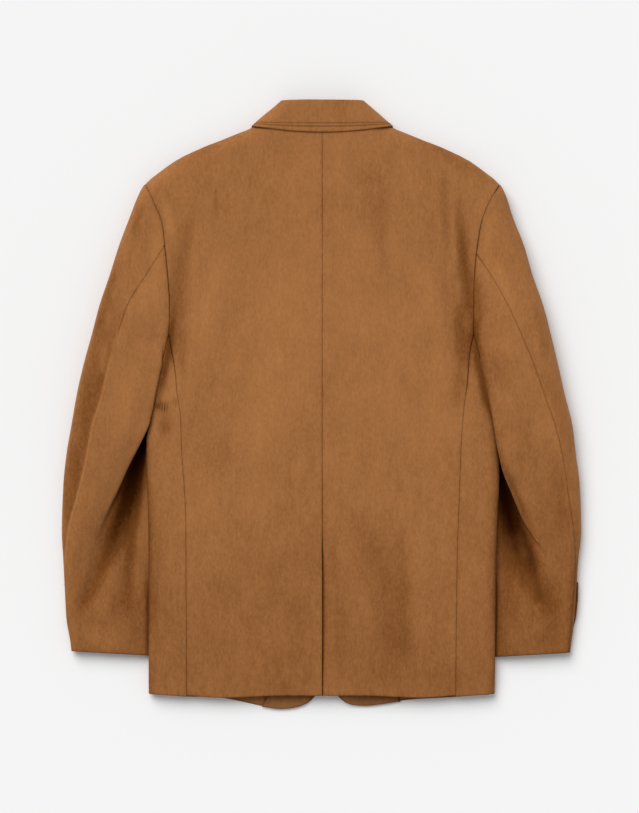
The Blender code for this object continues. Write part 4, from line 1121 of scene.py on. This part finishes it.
def crumple(points, side, flip, edges, creases):
    """Move a panel's points for its creases and its rolled edges; give its seam shade."""
    normal = outward(points, flip)
    x = SIGN[side] * points[..., 0]
    y = points[..., 1]
    shade = np.zeros(x.shape)
    light = np.zeros(x.shape)
    # painted shade in the seams, darker along the listed stretches
    painted_seam_shade = SEAM_SHADE * (1.0 + field(x, y, DARKER_SEAM_SHADE))
    move = np.zeros(x.shape)
    rolled = np.zeros(x.shape)
    if creases:
        up = ease(normal[..., 2], 0.25, 0.85)
        down = ease(-normal[..., 2], 0.25, 0.85)
        top = CREASE_DEPTH * field(x, y, TOP_CREASES)
        for height, size, seed in TOP_WAVES:
            top = top + height * waves(x, y, size, seed)
        low = field(x, y, UNDER_CREASES) - 0.25 + 0.2 * waves(x, y, 55.0, 3)
        low = np.minimum(low, 0.0)
        move = top * up + low * down
    for axis, kinds in ((1, edges[:2]), (0, edges[2:])):
        for distance, kind in zip(run_in(points, axis), kinds):
            if kind == "seam":
                rolled = np.maximum(rolled, SEAM_ROLL * roll(distance, SEAM_WIDTH))
                shade = np.maximum(shade, painted_seam_shade * np.exp(-distance / 0.9))
            elif kind == "ridge":
                # a raised, lighter seam down the sleeve, and a dark one above the elbow
                below = ease(-y, *ZONES["ridge"])
                low = below * (1 - ease(-y, *ZONES["ridge_end"]))
                move = move + 0.45 * low * np.exp(-(distance / 1.6) ** 2)
                light = np.maximum(light, low * np.exp(-(distance / 1.1) ** 2))
                shade = np.maximum(shade, 0.22 * ((1 - below) * np.exp(-distance / 0.8)))
            elif kind == "hem":
                rolled = np.maximum(rolled, HEM_ROLL * roll(distance, HEM_WIDTH))
                shade = np.maximum(shade, HEM_SHADE * np.exp(-distance / 0.9))
    moved = points + normal * (move - rolled)[..., None]
    moved[..., 2] = np.where(points[..., 2] < LIFTED, np.maximum(moved[..., 2], 0.05),
                             moved[..., 2])
    return moved, shade - light


def painted_shade_and_nap(side, part, points, normal):
    """Painted light and shade over a panel, with some lighter and darker nap, and the depth of the
    painted shade in the pit beside the body.
    """
    out = points[..., 0]
    y = points[..., 1]
    up = ease(normal[..., 2], 0.0, 0.6)
    # painted shade and light from the rows, and painted shade growing from the collar down to the
    # hem
    tone = field(SIGN[side] * out, y, SHADE_AND_NAP_ROWS) - FALLOFF_SHADE * ease(-y, *ZONES["fall"])
    turned = np.zeros(out.shape)
    pit = np.zeros(out.shape)
    # painted shade down the forearms
    if part.startswith("sleeve"):
        tone = tone - FOREARM_SHADE[side] * ease(-y, *ZONES["forearm"])
    if part == "sleeve_upper":
        # painted shade on the strip between elbow seam and outline, and painted light on its rim
        strip = ease(out - curve(ELBOW[side], y), 0.0, 4.0)
        strip = strip * ease(-y, *ZONES["strip"]) * (1 - ease(-y, *ZONES["strip_end"]))
        tone = tone - STRIP_SHADE[side] * strip
        rim = smooth(y, OUTLINE_Y[::-1], OUTLINE[side][::-1]) - out
        tone = tone + STRIP_RIM_LIGHT * np.exp(-np.maximum(rim, 0.0) / 4.0) * strip
    # painted light on the fronts' lower corners
    if part == "front":
        tone = tone + FRONT_CORNER_LIGHT * ease(-y, *ZONES["front"])
    if part == "sleeve_under":
        # painted shade in the pit between the body's edge and the sleeve's lip
        lip = smooth(y, FOLD_Y, FOLD[side]["lip"])
        edge = body_edge(side, y)
        below = (points[..., 2] < 0.5 * smooth(y, FOLD_Y, FOLD["base"]) + 8.0) & (y < -10)
        below = below & (out < lip + 14)
        toward = np.clip((out - edge) / np.maximum(lip - edge, 6.0), 0.0, 1.2)
        start = smooth(toward, PIT["toward"], PIT[side]["start"])
        end = smooth(toward, PIT["toward"], PIT[side]["end"])
        dark = below * (1 - ease(-y, start, end)) * ease(normal[..., 2], 0.0, 0.5)
        slack = ease(-y, *SOFT_FOLD[side])
        dark = dark * (1 - slack * ease(out - lip, -12, 2))
        pit = 1.0 - np.maximum(1.0 - dark, 0.0) ** PIT_CURVE
        # painted shadow of the body's edge on the sleeve beside it
        beside = np.exp(-np.maximum(out - edge, 0.0) / 11.0)
        tone = tone - BODY_EDGE_SHADOW[side] * (beside * ease(-y, *ZONES["beside"]))
    if part == "side":
        # painted shade where the side panel turns down at the body's edge
        away_in = np.maximum(body_edge(side, y) - out, 0.0)
        turned = SIDE_TURN_SHADE[side] * np.exp(-away_in / 7.0)
        turned = turned * ease(-y, *ZONES["edge"]) * (1 - 0.5 * ease(-y, *ZONES["edge_end"]))
        turned = turned * ease(normal[..., 2], -0.2, 0.2)
    return tone * up - turned, pit


def shell(name, points, side, flip, shade, material, node_name, skip=None, normal=None):
    """A closed thin piece of cloth on a grid of points of its outer face."""
    rows, columns = points.shape[:2]
    if normal is None:
        normal = outward(points, flip)
    inner = points - normal * WALL
    keep = np.ones((rows - 1, columns - 1), bool) if skip is None else ~skip
    number = np.arange(rows * columns).reshape(rows, columns)
    quads = np.stack((number[:-1, :-1], number[:-1, 1:], number[1:, 1:], number[1:, :-1]), 2)
    quads = quads[keep]
    if flip != (side == "left"):
        quads = quads[:, ::-1]
    count = rows * columns
    below = quads[:, ::-1] + count
    sides = np.concatenate([quads[:, (k, (k + 1) % 4)] for k in range(4)])
    both = set(map(tuple, sides.tolist()))
    border = np.array([pair for pair in both if (pair[1], pair[0]) not in both])
    # the rim bulges a little, so a cut edge is round
    rim = {}
    extra = []
    flat_mid = ((points + inner) / 2).reshape(-1, 3)
    flat_out = rim_direction(points).reshape(-1, 3)
    for index in sorted(set(border.ravel().tolist())):
        rim[index] = 2 * count + len(extra)
        extra.append(flat_mid[index] + flat_out[index] * RIM)
    walls = []
    for a, b in border.tolist():
        walls.append((b, a, rim[a], rim[b]))
        walls.append((rim[b], rim[a], a + count, b + count))
    verts = np.concatenate((points.reshape(-1, 3), inner.reshape(-1, 3), np.array(extra)))
    verts = verts * (SIGN[side] * MM, MM, MM)
    faces = np.concatenate((quads, below, np.array(walls)))
    used = np.unique(faces)
    lookup = np.full(len(verts), -1)
    lookup[used] = np.arange(len(used))
    verts = verts[used]
    faces = lookup[faces]
    mesh = bpy.data.meshes.new(name)
    mesh.vertices.add(len(verts))
    mesh.vertices.foreach_set("co", verts.ravel())
    mesh.loops.add(faces.size)
    mesh.loops.foreach_set("vertex_index", faces.ravel())
    mesh.polygons.add(len(faces))
    mesh.polygons.foreach_set("loop_start", np.arange(0, faces.size, 4))
    mesh.polygons.foreach_set("loop_total", np.full(len(faces), 4))
    mesh.update(calc_edges=True)
    mesh.validate()
    mesh.shade_smooth()
    part = name.replace("_left", "").replace("_right", "").replace("_suede", "")
    tone, pit = painted_shade_and_nap(side, part, points, normal)
    line = np.clip(shade, 0.0, 1.0)
    tone = tone + RIDGE_LIGHT * np.clip(-shade, 0.0, 1.0) - SEAM_SHADE_TONE * line - PIT_SHADE * pit
    tone = tone.ravel()
    # the seam attribute carries the painted shade of the seams and of the pit
    shade = np.maximum(SEAM_DEEP * line, pit ** 5).ravel()
    # the inner face: half the seams' painted shade, and only the darker painted shade and nap but
    # for the fronts
    inner_tone = tone if part == "front" else np.minimum(tone, 0.0)
    for label, top, under in (("seam", shade, shade * 0.5), ("nap", tone, inner_tone)):
        full = np.concatenate((top, under, top[sorted(rim)]))
        layer = mesh.attributes.new(label, "FLOAT", "POINT")
        layer.data.foreach_set("value", full[used].astype(np.float32))
    return placed(name, mesh, material, node_name)


def placed(name, mesh, material, node_name=None):
    """Put a mesh into the scene as a piece on the jacket's one body."""
    piece = bpy.data.objects.new(name, mesh)
    bpy.context.scene.collection.objects.link(piece)
    mesh.materials.append(material)
    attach(piece, "root")
    if node_name:
        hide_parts(node_name)
    return piece


def plain_mesh(name, verts, faces, rounded=True):
    """A mesh from points in millimetres and faces."""
    mesh = bpy.data.meshes.new(name)
    mesh.from_pydata([[value * MM for value in vert] for vert in verts], [], faces)
    mesh.update()
    if rounded:
        mesh.shade_smooth()
    return mesh


def tube(rings, steps):
    """Faces of a closed tube whose rings of points follow each other, from point 0."""
    faces = []
    for ring in range(rings - 1):
        for k in range(steps):
            a = ring * steps + k
            b = ring * steps + (k + 1) % steps
            faces.append((a, b, b + steps, a + steps))
    faces.append(tuple(range(steps - 1, -1, -1)))
    faces.append(tuple(range((rings - 1) * steps, rings * steps)))
    return faces


def rim_direction(points):
    """Unit direction out of a grid at its border, in its own surface."""
    out = np.zeros(points.shape)
    across = np.gradient(points, axis=1)
    up = np.gradient(points, axis=0)
    for vector in (across, up):
        vector /= np.maximum(np.linalg.norm(vector, axis=2, keepdims=True), 1e-9)
    out[:, 0] -= across[:, 0]
    out[:, -1] += across[:, -1]
    out[0] -= up[0]
    out[-1] += up[-1]
    return out / np.maximum(np.linalg.norm(out, axis=2, keepdims=True), 1e-9)


def cut_size(points):
    """Width, length and area of the cloth in a grid, in metres."""
    across = np.linalg.norm(np.diff(points, axis=1), axis=2).sum(axis=1).max()
    along_grid = np.linalg.norm(np.diff(points, axis=0), axis=2).sum(axis=0).max()
    one = np.cross(points[1:, :-1] - points[:-1, :-1], points[:-1, 1:] - points[:-1, :-1])
    two = np.cross(points[1:, :-1] - points[1:, 1:], points[:-1, 1:] - points[1:, 1:])
    area = (np.linalg.norm(one, axis=2) + np.linalg.norm(two, axis=2)).sum() / 2
    return across * MM, along_grid * MM, area * MM * MM


def count_for(length, step):
    """How many points a length takes at a spacing."""
    return int(math.ceil(length / step)) + 1


def panel(part, side, points, flip, edges, material,
          creases=True, fine=True):
    """Dress one CAD node: creased points and a thin shell."""
    node_name = part + "_" + side
    if fine:
        points = refine(refine(points, 0), 1)
    moved, shade = crumple(points, side, flip, edges, creases)
    piece = shell(node_name + "_suede", moved, side, flip, shade, material, node_name)
    return moved


# Grid of a back panel, across and up.
BACK_GRID = (count_for(208, FINE), count_for(770, FINE))


# ---------------------------------------------------------------- materials

def node(tree, kind, **values):
    """Add a shader node and set its plain properties."""
    made = tree.nodes.new(kind)
    for key, value in values.items():
        setattr(made, key, value)
    return made


def join(tree, source, target):
    """Link a socket to an input, or set the input to a number."""
    if isinstance(source, (int, float)):
        target.default_value = source
    else:
        tree.links.new(source, target)


def math_node(tree, operation, a, b, clamp=False):
    """One arithmetic node; returns its output."""
    made = node(tree, "ShaderNodeMath", operation=operation, use_clamp=clamp)
    join(tree, a, made.inputs[0])
    join(tree, b, made.inputs[1])
    return made.outputs[0]


def noise(tree, place, size, stretch, detail, rough, shift=0.0):
    """Noise of a size in millimetres, longer along Y by stretch, from 0 to 1."""
    mapping = node(tree, "ShaderNodeMapping")
    scale = 1.0 / (size * MM)
    mapping.inputs["Scale"].default_value = (scale, scale / stretch, scale)
    mapping.inputs["Location"].default_value = (shift, shift * 0.7, shift * 1.3)
    tree.links.new(place, mapping.inputs["Vector"])
    made = node(tree, "ShaderNodeTexNoise")
    made.inputs["Scale"].default_value = 1.0
    made.inputs["Detail"].default_value = detail
    made.inputs["Roughness"].default_value = rough
    tree.links.new(mapping.outputs[0], made.inputs["Vector"])
    return made.outputs["Fac"]


def mix(tree, factor, first, second):
    """Blend two colours, each a socket or a plain colour; returns the result."""
    made = node(tree, "ShaderNodeMix", data_type="RGBA")
    tree.links.new(factor, made.inputs["Factor"])
    for label, source in (("A", first), ("B", second)):
        if isinstance(source, tuple):
            made.inputs[label].default_value = source
        else:
            tree.links.new(source, made.inputs[label])
    return made.outputs["Result"]


def surface(name, **values):
    """A new material with plain values on its shader; returns it, its tree and shader."""
    material = bpy.data.materials.new(name)
    material.use_nodes = True
    tree = material.node_tree
    shader = tree.nodes["Principled BSDF"]
    for label, value in values.items():
        shader.inputs[label.replace("_", " ")].default_value = value
    return material, tree, shader


def suede(name, dark, light, shift):
    """Napped suede: brushed patches, faint streaks along the grain, and a short fibre, darkened
    and lightened by the painted shade and light each point carries.
    """
    material, tree, shader = surface(name, Roughness=0.92, Sheen_Roughness=0.55,
                                     Sheen_Tint=(1.0, 0.80, 0.58, 1.0))
    place = node(tree, "ShaderNodeTexCoord").outputs["Object"]
    # this attribute carries the painted shade of the seams and of the pit
    seam = node(tree, "ShaderNodeAttribute", attribute_name="seam").outputs["Fac"]
    nap = node(tree, "ShaderNodeAttribute", attribute_name="nap").outputs["Fac"]
    bare = math_node(tree, "SUBTRACT", 1.0, seam, True)
    total = math_node(tree, "ADD", 0.5, nap)
    for size, stretch, detail, rough, off, weight in SUEDE_NOISES:
        value = noise(tree, place, size, stretch, detail, rough, shift + off)
        centred = math_node(tree, "SUBTRACT", value, 0.5)
        total = math_node(tree, "ADD", total, math_node(tree, "MULTIPLY", centred, weight))
    # no sheen is left where shade is painted: in the seams, the pit and the darkest colour
    bare = math_node(tree, "MULTIPLY", bare, math_node(tree, "MULTIPLY", total, 2.0, True))
    join(tree, math_node(tree, "MULTIPLY", bare, SHEEN), shader.inputs["Sheen Weight"])
    join(tree, math_node(tree, "MULTIPLY", bare, GLOSS), shader.inputs["Specular IOR Level"])
    # dark to light nap with painted light and shade; then, below dark, painted shade; then the
    # painted shade of the seams and the pit
    below = math_node(tree, "MULTIPLY", total, -1.5, True)
    colour = mix(tree, math_node(tree, "ADD", total, 0.0, True), dark, light)
    colour = mix(tree, below, colour, SHADED)
    colour = mix(tree, math_node(tree, "MULTIPLY", seam, 1.0, True), colour, DEEP_SHADE)
    tree.links.new(colour, shader.inputs["Base Color"])
    fibre = noise(tree, place, 0.7, 1.4, 3.0, 0.75, shift)
    clump = noise(tree, place, 3.2, 1.6, 2.0, 0.5, shift + 1.0)
    height = math_node(tree, "ADD", math_node(tree, "MULTIPLY", clump, 0.8), fibre)
    bump = node(tree, "ShaderNodeBump")
    bump.inputs["Strength"].default_value = 0.35
    bump.inputs["Distance"].default_value = 0.00035
    tree.links.new(height, bump.inputs["Height"])
    tree.links.new(bump.outputs["Normal"], shader.inputs["Normal"])
    return material


def thread_material():
    """Sewing thread of the suede's colour, a little lighter and smoother."""
    material, tree, shader = surface("sewing_thread", Roughness=0.6)
    place = node(tree, "ShaderNodeTexCoord").outputs["Object"]
    twist = noise(tree, place, 0.5, 1.0, 2.0, 0.6)
    tree.links.new(mix(tree, twist, THREAD_DARK, THREAD_LIGHT), shader.inputs["Base Color"])
    return material


def horn_material():
    """Dark mottled horn with lighter streaks."""
    material, tree, shader = surface("horn_button", Roughness=0.33, Coat_Weight=0.25,
                                     Coat_Roughness=0.2)
    place = node(tree, "ShaderNodeTexCoord").outputs["Object"]
    streak = noise(tree, place, 5.0, 4.0, 3.0, 0.6)
    ramp = node(tree, "ShaderNodeValToRGB")
    for element, (position, colour) in zip(ramp.color_ramp.elements, HORN_RAMP):
        element.position = position
        element.color = colour
    tree.links.new(streak, ramp.inputs["Fac"])
    tree.links.new(ramp.outputs["Color"], shader.inputs["Base Color"])
    return material


# ---------------------------------------------------------------- pieces

def fine_rows(kind, side):
    """Heights of the sections of a dressed sleeve."""
    top = SLEEVE_TOP[kind][side]
    return np.linspace(top, CUFF_Y, count_for(top - CUFF_Y, SLEEVE_STEP))


def collar_levels():
    """Places across the collar's fall: close at its stitched edge and at its fold."""
    depth = COLLAR_FOLD_Y - COLLAR_EDGE_CENTRE
    places = list(np.arange(0.0, 15.0, 0.75)) + list(np.arange(15.0, 34.0, 2.0))
    places += list(34.0 + 8.3 * np.sin(np.linspace(0.0, math.pi / 2, 14)))
    return [place / depth for place in places]


def stitch_narrow(x):
    """The rows of topstitching run closer to the collar's edge toward its ends."""
    return 1.0 - 0.42 * np.clip(np.abs(x) / 95.0, 0.0, 1.0) ** 2


def collar_piece(material):
    """The collar with two rows of topstitching sunk along its fall's edge."""
    points = collar(COLLAR_COLUMNS, collar_levels())
    width, length, area = cut_size(points)
    points = refine(points, 1)
    moved, shade = crumple(points, "right", False, ("hem", "hem", "hem", "seam"), False)
    depth = run_in(points, 0)[0]
    ends = np.minimum(*run_in(points, 1))
    stitched = ease(ends, 4.0, 9.0)
    groove = np.zeros(depth.shape)
    narrow = stitch_narrow(points[..., 0])
    for place in TOPSTITCH:
        off = depth - place * narrow
        groove -= 0.42 * np.exp(-(off / 0.85) ** 2)
        shade = np.maximum(shade, 0.26 * np.exp(-(off / 0.8) ** 2) * stitched)
    # the cloth swells a little between the two rows
    groove += 0.26 * np.exp(-((depth - sum(TOPSTITCH) / 2 * narrow) / 1.4) ** 2)
    swell = 0.25 * waves(points[..., 0], points[..., 1], 34.0, 11) * ease(depth, 3.0, 14.0)
    moved = moved + outward(points, False) * (groove * stitched + swell)[..., None]
    piece = shell("collar_suede", moved, "right", False, shade, material, "collar")
    return piece, (width, length), area


def right_back(material):
    """The right back with the vent's underlap cut in one with it."""
    points = back_panel("right", *BACK_GRID)
    down = -points[:, 0, 1]
    open_part = ease(down, -VENT_TOP_Y - VENT_EASE, -VENT_TOP_Y + VENT_EASE)
    open_part = open_part * (1 - 0.6 * ease(down, *ZONES["vent_end"]))
    reach = np.clip(1.0 - points[..., 0] / VENT_EASE, 0.0, 1.0)
    points[..., 0] += VENT_GAP * open_part[:, None] * reach
    width, length, area = cut_size(points)
    points = refine(refine(points, 0), 1)
    moved, shade = crumple(points, "right", False, ("seam", "seam", "hem", "seam"), True)
    y = points[:, 0, 1]
    lap = []
    for out in np.concatenate((np.linspace(-VENT_LAP, -2.0, 12), (0.6,))):
        level = body_top(abs(out), y) - WALL - 2 * SLIP
        lap.append(np.column_stack((np.full(len(y), out), y, level)))
    lap = np.stack(lap, axis=1)
    whole = np.concatenate((lap, moved), axis=1)
    shade = np.concatenate((np.full(lap.shape[:2], LAP_SHADE), shade), axis=1)
    skip = np.zeros((whole.shape[0] - 1, whole.shape[1] - 1), bool)
    skip[:, :lap.shape[1]] = (y[1:] > VENT_TOP_Y)[:, None]
    normal = np.concatenate((outward(lap, False), outward(moved, False)), axis=1)
    piece = shell("back_right_suede", whole, "right", False, shade, material,
                  "back_right", skip=skip, normal=normal)
    area += VENT_LAP * MM * (VENT_TOP_Y - HEM_Y) * MM


def stitches(name, path, up, material, length=2.5, gap=0.7, radius=0.24):
    """A row of short raised stitches along a path, each sunk at both its ends."""
    step = np.linalg.norm(np.diff(path, axis=0), axis=1)
    run = np.concatenate(([0.0], np.cumsum(step)))

    def point_at(where, line):
        return np.array([np.interp(where, run, line[:, k]) for k in range(3)])

    verts = []
    faces = []
    at = 0.5
    while at + length < run[-1] - 0.5:
        faces += [tuple(len(verts) + k for k in face) for face in tube(5, 6)]
        for part in (0.0, 0.18, 0.5, 0.82, 1.0):
            where = at + part * length
            middle = point_at(where, path)
            raised = point_at(where, up)
            heading = point_at(where + 0.2, path) - middle
            heading /= max(np.linalg.norm(heading), 1e-9)
            across = np.cross(raised, heading)
            across /= max(np.linalg.norm(across), 1e-9)
            end = part in (0.0, 1.0)
            thick = radius * (0.55 if end else 1.0)
            lift = -0.22 if end else 0.02 + 0.1 * math.sin(math.pi * part)
            for k in range(6):
                angle = k * math.pi / 3
                verts.append(middle + raised * (lift + thick * math.sin(angle))
                             + across * thick * math.cos(angle))
        at += length + gap
    return placed(name, plain_mesh(name, verts, faces), material)


def collar_stitching(material):
    """Two rows of stitches on the collar's fall, as far round as it stands off the surface."""
    rows = []
    edge, upper = collar_plan(0.0, COLLAR_COLUMNS)
    fold = collar_plan(1.0, COLLAR_COLUMNS)[0]
    for number, place in enumerate(TOPSTITCH, 1):
        level = place * stitch_narrow(edge[:, 0]) / (COLLAR_FOLD_Y - COLLAR_EDGE_CENTRE)
        lines = []
        for shift in (0.0, 0.02):
            plan = edge + (fold - edge) * (level + shift)[:, None]
            z = collar_point_height(plan, upper, WALL + SLIP, 0.0)
            lines.append(np.column_stack((plan, z)))
        normal = outward(np.array(lines), False)[0]
        path = lines[0] - normal * 0.30
        high = path[:, 2] > 20.0
        rows.append(stitches("collar_stitches_" + str(number), path[high], normal[high],
                             material))
    return rows


def button_body(name):
    """The button's turned body with its four holes, about its own middle."""
    steps = BUTTON_STEPS
    verts = [(r * math.cos(2 * math.pi * k / steps), r * math.sin(2 * math.pi * k / steps), z)
             for r, z in BUTTON_OUTLINE for k in range(steps)]
    faces = []
    last = (len(BUTTON_OUTLINE) - 1) * steps
    for ring in range(0, last, steps):
        for k in range(steps):
            a = ring + k
            b = ring + (k + 1) % steps
            faces.append((a, a + steps, b + steps, b))
    faces.append(tuple(range(steps)))
    faces.append(tuple(range(last + steps - 1, last - 1, -1)))
    body = bpy.data.objects.new(name, plain_mesh(name, verts, faces, rounded=False))
    bpy.context.scene.collection.objects.link(body)
    for number in range(4):
        angle = math.pi / 4 + number * math.pi / 2
        bar = drum(name + "_hole", HOLE_RADIUS, 6.0, 24, HOLES_OUT * math.cos(angle),
                   HOLES_OUT * math.sin(angle))
        cut = body.modifiers.new("hole", "BOOLEAN")
        cut.operation = "DIFFERENCE"
        cut.solver = "EXACT"
        cut.object = bar
        done = bpy.data.meshes.new_from_object(
            body.evaluated_get(bpy.context.evaluated_depsgraph_get()))
        body.modifiers.clear()
        body.data = done
        bpy.data.objects.remove(bar)
    mesh = body.data
    bpy.data.objects.remove(body)
    return mesh


def button_piece(name, place, off, material, thread):
    """A four-hole button with a raised rim, face down, with its thread."""
    x, y = place
    half = BUTTON_THICK / 2
    mesh = button_body(name + "_horn")
    mesh.transform(Matrix.Translation((x * MM, y * MM, (half + off) * MM)))
    mesh.materials.clear()
    mesh.shade_smooth()
    mesh.set_sharp_from_angle(angle=math.radians(38))
    placed(name + "_horn", mesh, material, name)
    # two threads, each over a pair of holes and down into both
    side = HOLES_OUT * 0.7071      # each hole lies this far along X and along Y
    verts = []
    faces = []
    for sign in (-1, 1):
        faces += [tuple(len(verts) + k for k in face) for face in tube(9, 8)]
        for part in np.linspace(-1.0, 1.0, 9):
            z = -half + 1.05 - 0.45 * (1 - part ** 4) + 0.35 * part ** 8
            for k in range(8):
                angle = k * math.pi / 4
                verts.append((x + side * part * 1.02, y + sign * side + 0.5 * math.cos(angle),
                              half + off + z + 0.34 * math.sin(angle)))
    placed(name + "_horn_thread", plain_mesh(name + "_horn_thread", verts, faces), thread)


def drum(name, radius, depth, steps, cx, cy):
    """A plain round bar that cuts one hole."""
    verts = [(cx + radius * math.cos(2 * math.pi * k / steps),
              cy + radius * math.sin(2 * math.pi * k / steps), z)
             for z in (-depth / 2, depth / 2) for k in range(steps)]
    bar = bpy.data.objects.new(name, plain_mesh(name, verts, tube(2, steps), rounded=False))
    bpy.context.scene.collection.objects.link(bar)
    return bar


def dress_side(side, outer, under):
    """The panels of one side, from its side panel to its cuff."""
    seams = ("seam", "seam", "hem", "seam")
    rows = side_panel(side, 46, count_for(480, FINE), 640)
    panel("side", side, rows, False, seams, outer)
    front = front_panel(side, count_for(206, COARSE), count_for(770, COARSE))
    moved = panel("front", side, front, True, ("hem", "seam", "hem", "seam"),
                  under)
    seam_out = front_panel(side, 11, 30)[10, FACING_COLUMN[side], 0]
    column = int(np.argmin(np.abs(moved[len(moved) // 3, :, 0] - seam_out)))
    panel("facing", side, facing(moved, column), False, ("hem",) * 4, under,
          creases=False, fine=False)
    panel("lapel", side, lapel(side, 34, count_for(330, MEDIUM), 15), False,
          ("hem", "seam", "hem", "seam"), outer, creases=False)
    edges = ("ridge" if side == "left" else "seam", "seam", "seam", "hem")
    for kind, columns, flip in (("upper", 74, True), ("under", 104, False)):
        panel("sleeve_" + kind, side, sleeve(side, kind, columns, fine_rows(kind, side)), flip,
              edges, outer)
    panel("cuff_lap", side, cuff_lap(side, 22, 42), True, ("hem",) * 4, outer,
          creases=False)


def dress():
    """Every piece of the jacket."""
    outer = suede("suede_nap", DARK, LIGHT, 0.0)
    under = suede("suede_inner_nap", INNER_DARK, INNER_LIGHT, 4.0)
    thread = thread_material()
    horn = horn_material()
    panel("back", "left", back_panel("left", *BACK_GRID), False,
          ("seam", "seam", "hem", "seam"), outer)
    right_back(outer)
    for side in ("left", "right"):
        dress_side(side, outer, under)
    piece, flat, cut = collar_piece(outer)
    rows = collar_stitching(thread)
    for number, (place, off) in enumerate(zip(BUTTONS, BUTTON_OFF), 1):
        button_piece("button_" + str(number), place, off, horn, thread)


# ---------------------------------------------------------------- stage

def studio():
    """Pale floor, soft light from the upper left, and the camera straight overhead."""
    mesh = bpy.data.meshes.new("floor")
    mesh.from_pydata([(-4, -4, -0.0002), (4, -4, -0.0002), (4, 4, -0.0002), (-4, 4, -0.0002)],
                     [], [(0, 1, 2, 3)])
    mesh.update()
    mesh.materials.append(surface("pale_floor", Base_Color=FLOOR, Roughness=0.9,
                                  Specular_IOR_Level=0.0)[0])
    floor = bpy.data.objects.new("floor", mesh)
    bpy.context.scene.collection.objects.link(floor)
    world = bpy.data.worlds.new("studio_world")
    world.use_nodes = True
    back = world.node_tree.nodes["Background"]
    back.inputs["Color"].default_value = (1.0, 1.0, 1.0, 1.0)
    back.inputs["Strength"].default_value = WORLD_LIGHT
    bpy.context.scene.world = world
    lamp = bpy.data.lights.new("key", "SUN")
    lamp.energy = SUN["strength"]
    lamp.angle = math.radians(SUN["angle"])
    bulb = bpy.data.objects.new("key", lamp)
    bulb.location = Vector(SUN["toward"]) * 3
    bulb.rotation_euler = (-Vector(SUN["toward"])).to_track_quat("-Z", "Y").to_euler()
    bpy.context.scene.collection.objects.link(bulb)
    lens = bpy.data.cameras.new("camera")
    lens.lens = 200.0
    lens.sensor_width = 36.0
    lens.sensor_fit = "AUTO"
    lens.clip_start = 0.1
    lens.clip_end = 30.0
    camera = bpy.data.objects.new("camera", lens)
    camera.location = CAMERA_PLACE
    camera.rotation_euler = (0.0, 0.0, 0.0)
    bpy.context.scene.collection.objects.link(camera)
    bpy.context.scene.camera = camera
    bpy.context.scene.view_settings.view_transform = "Standard"


dress()
studio()
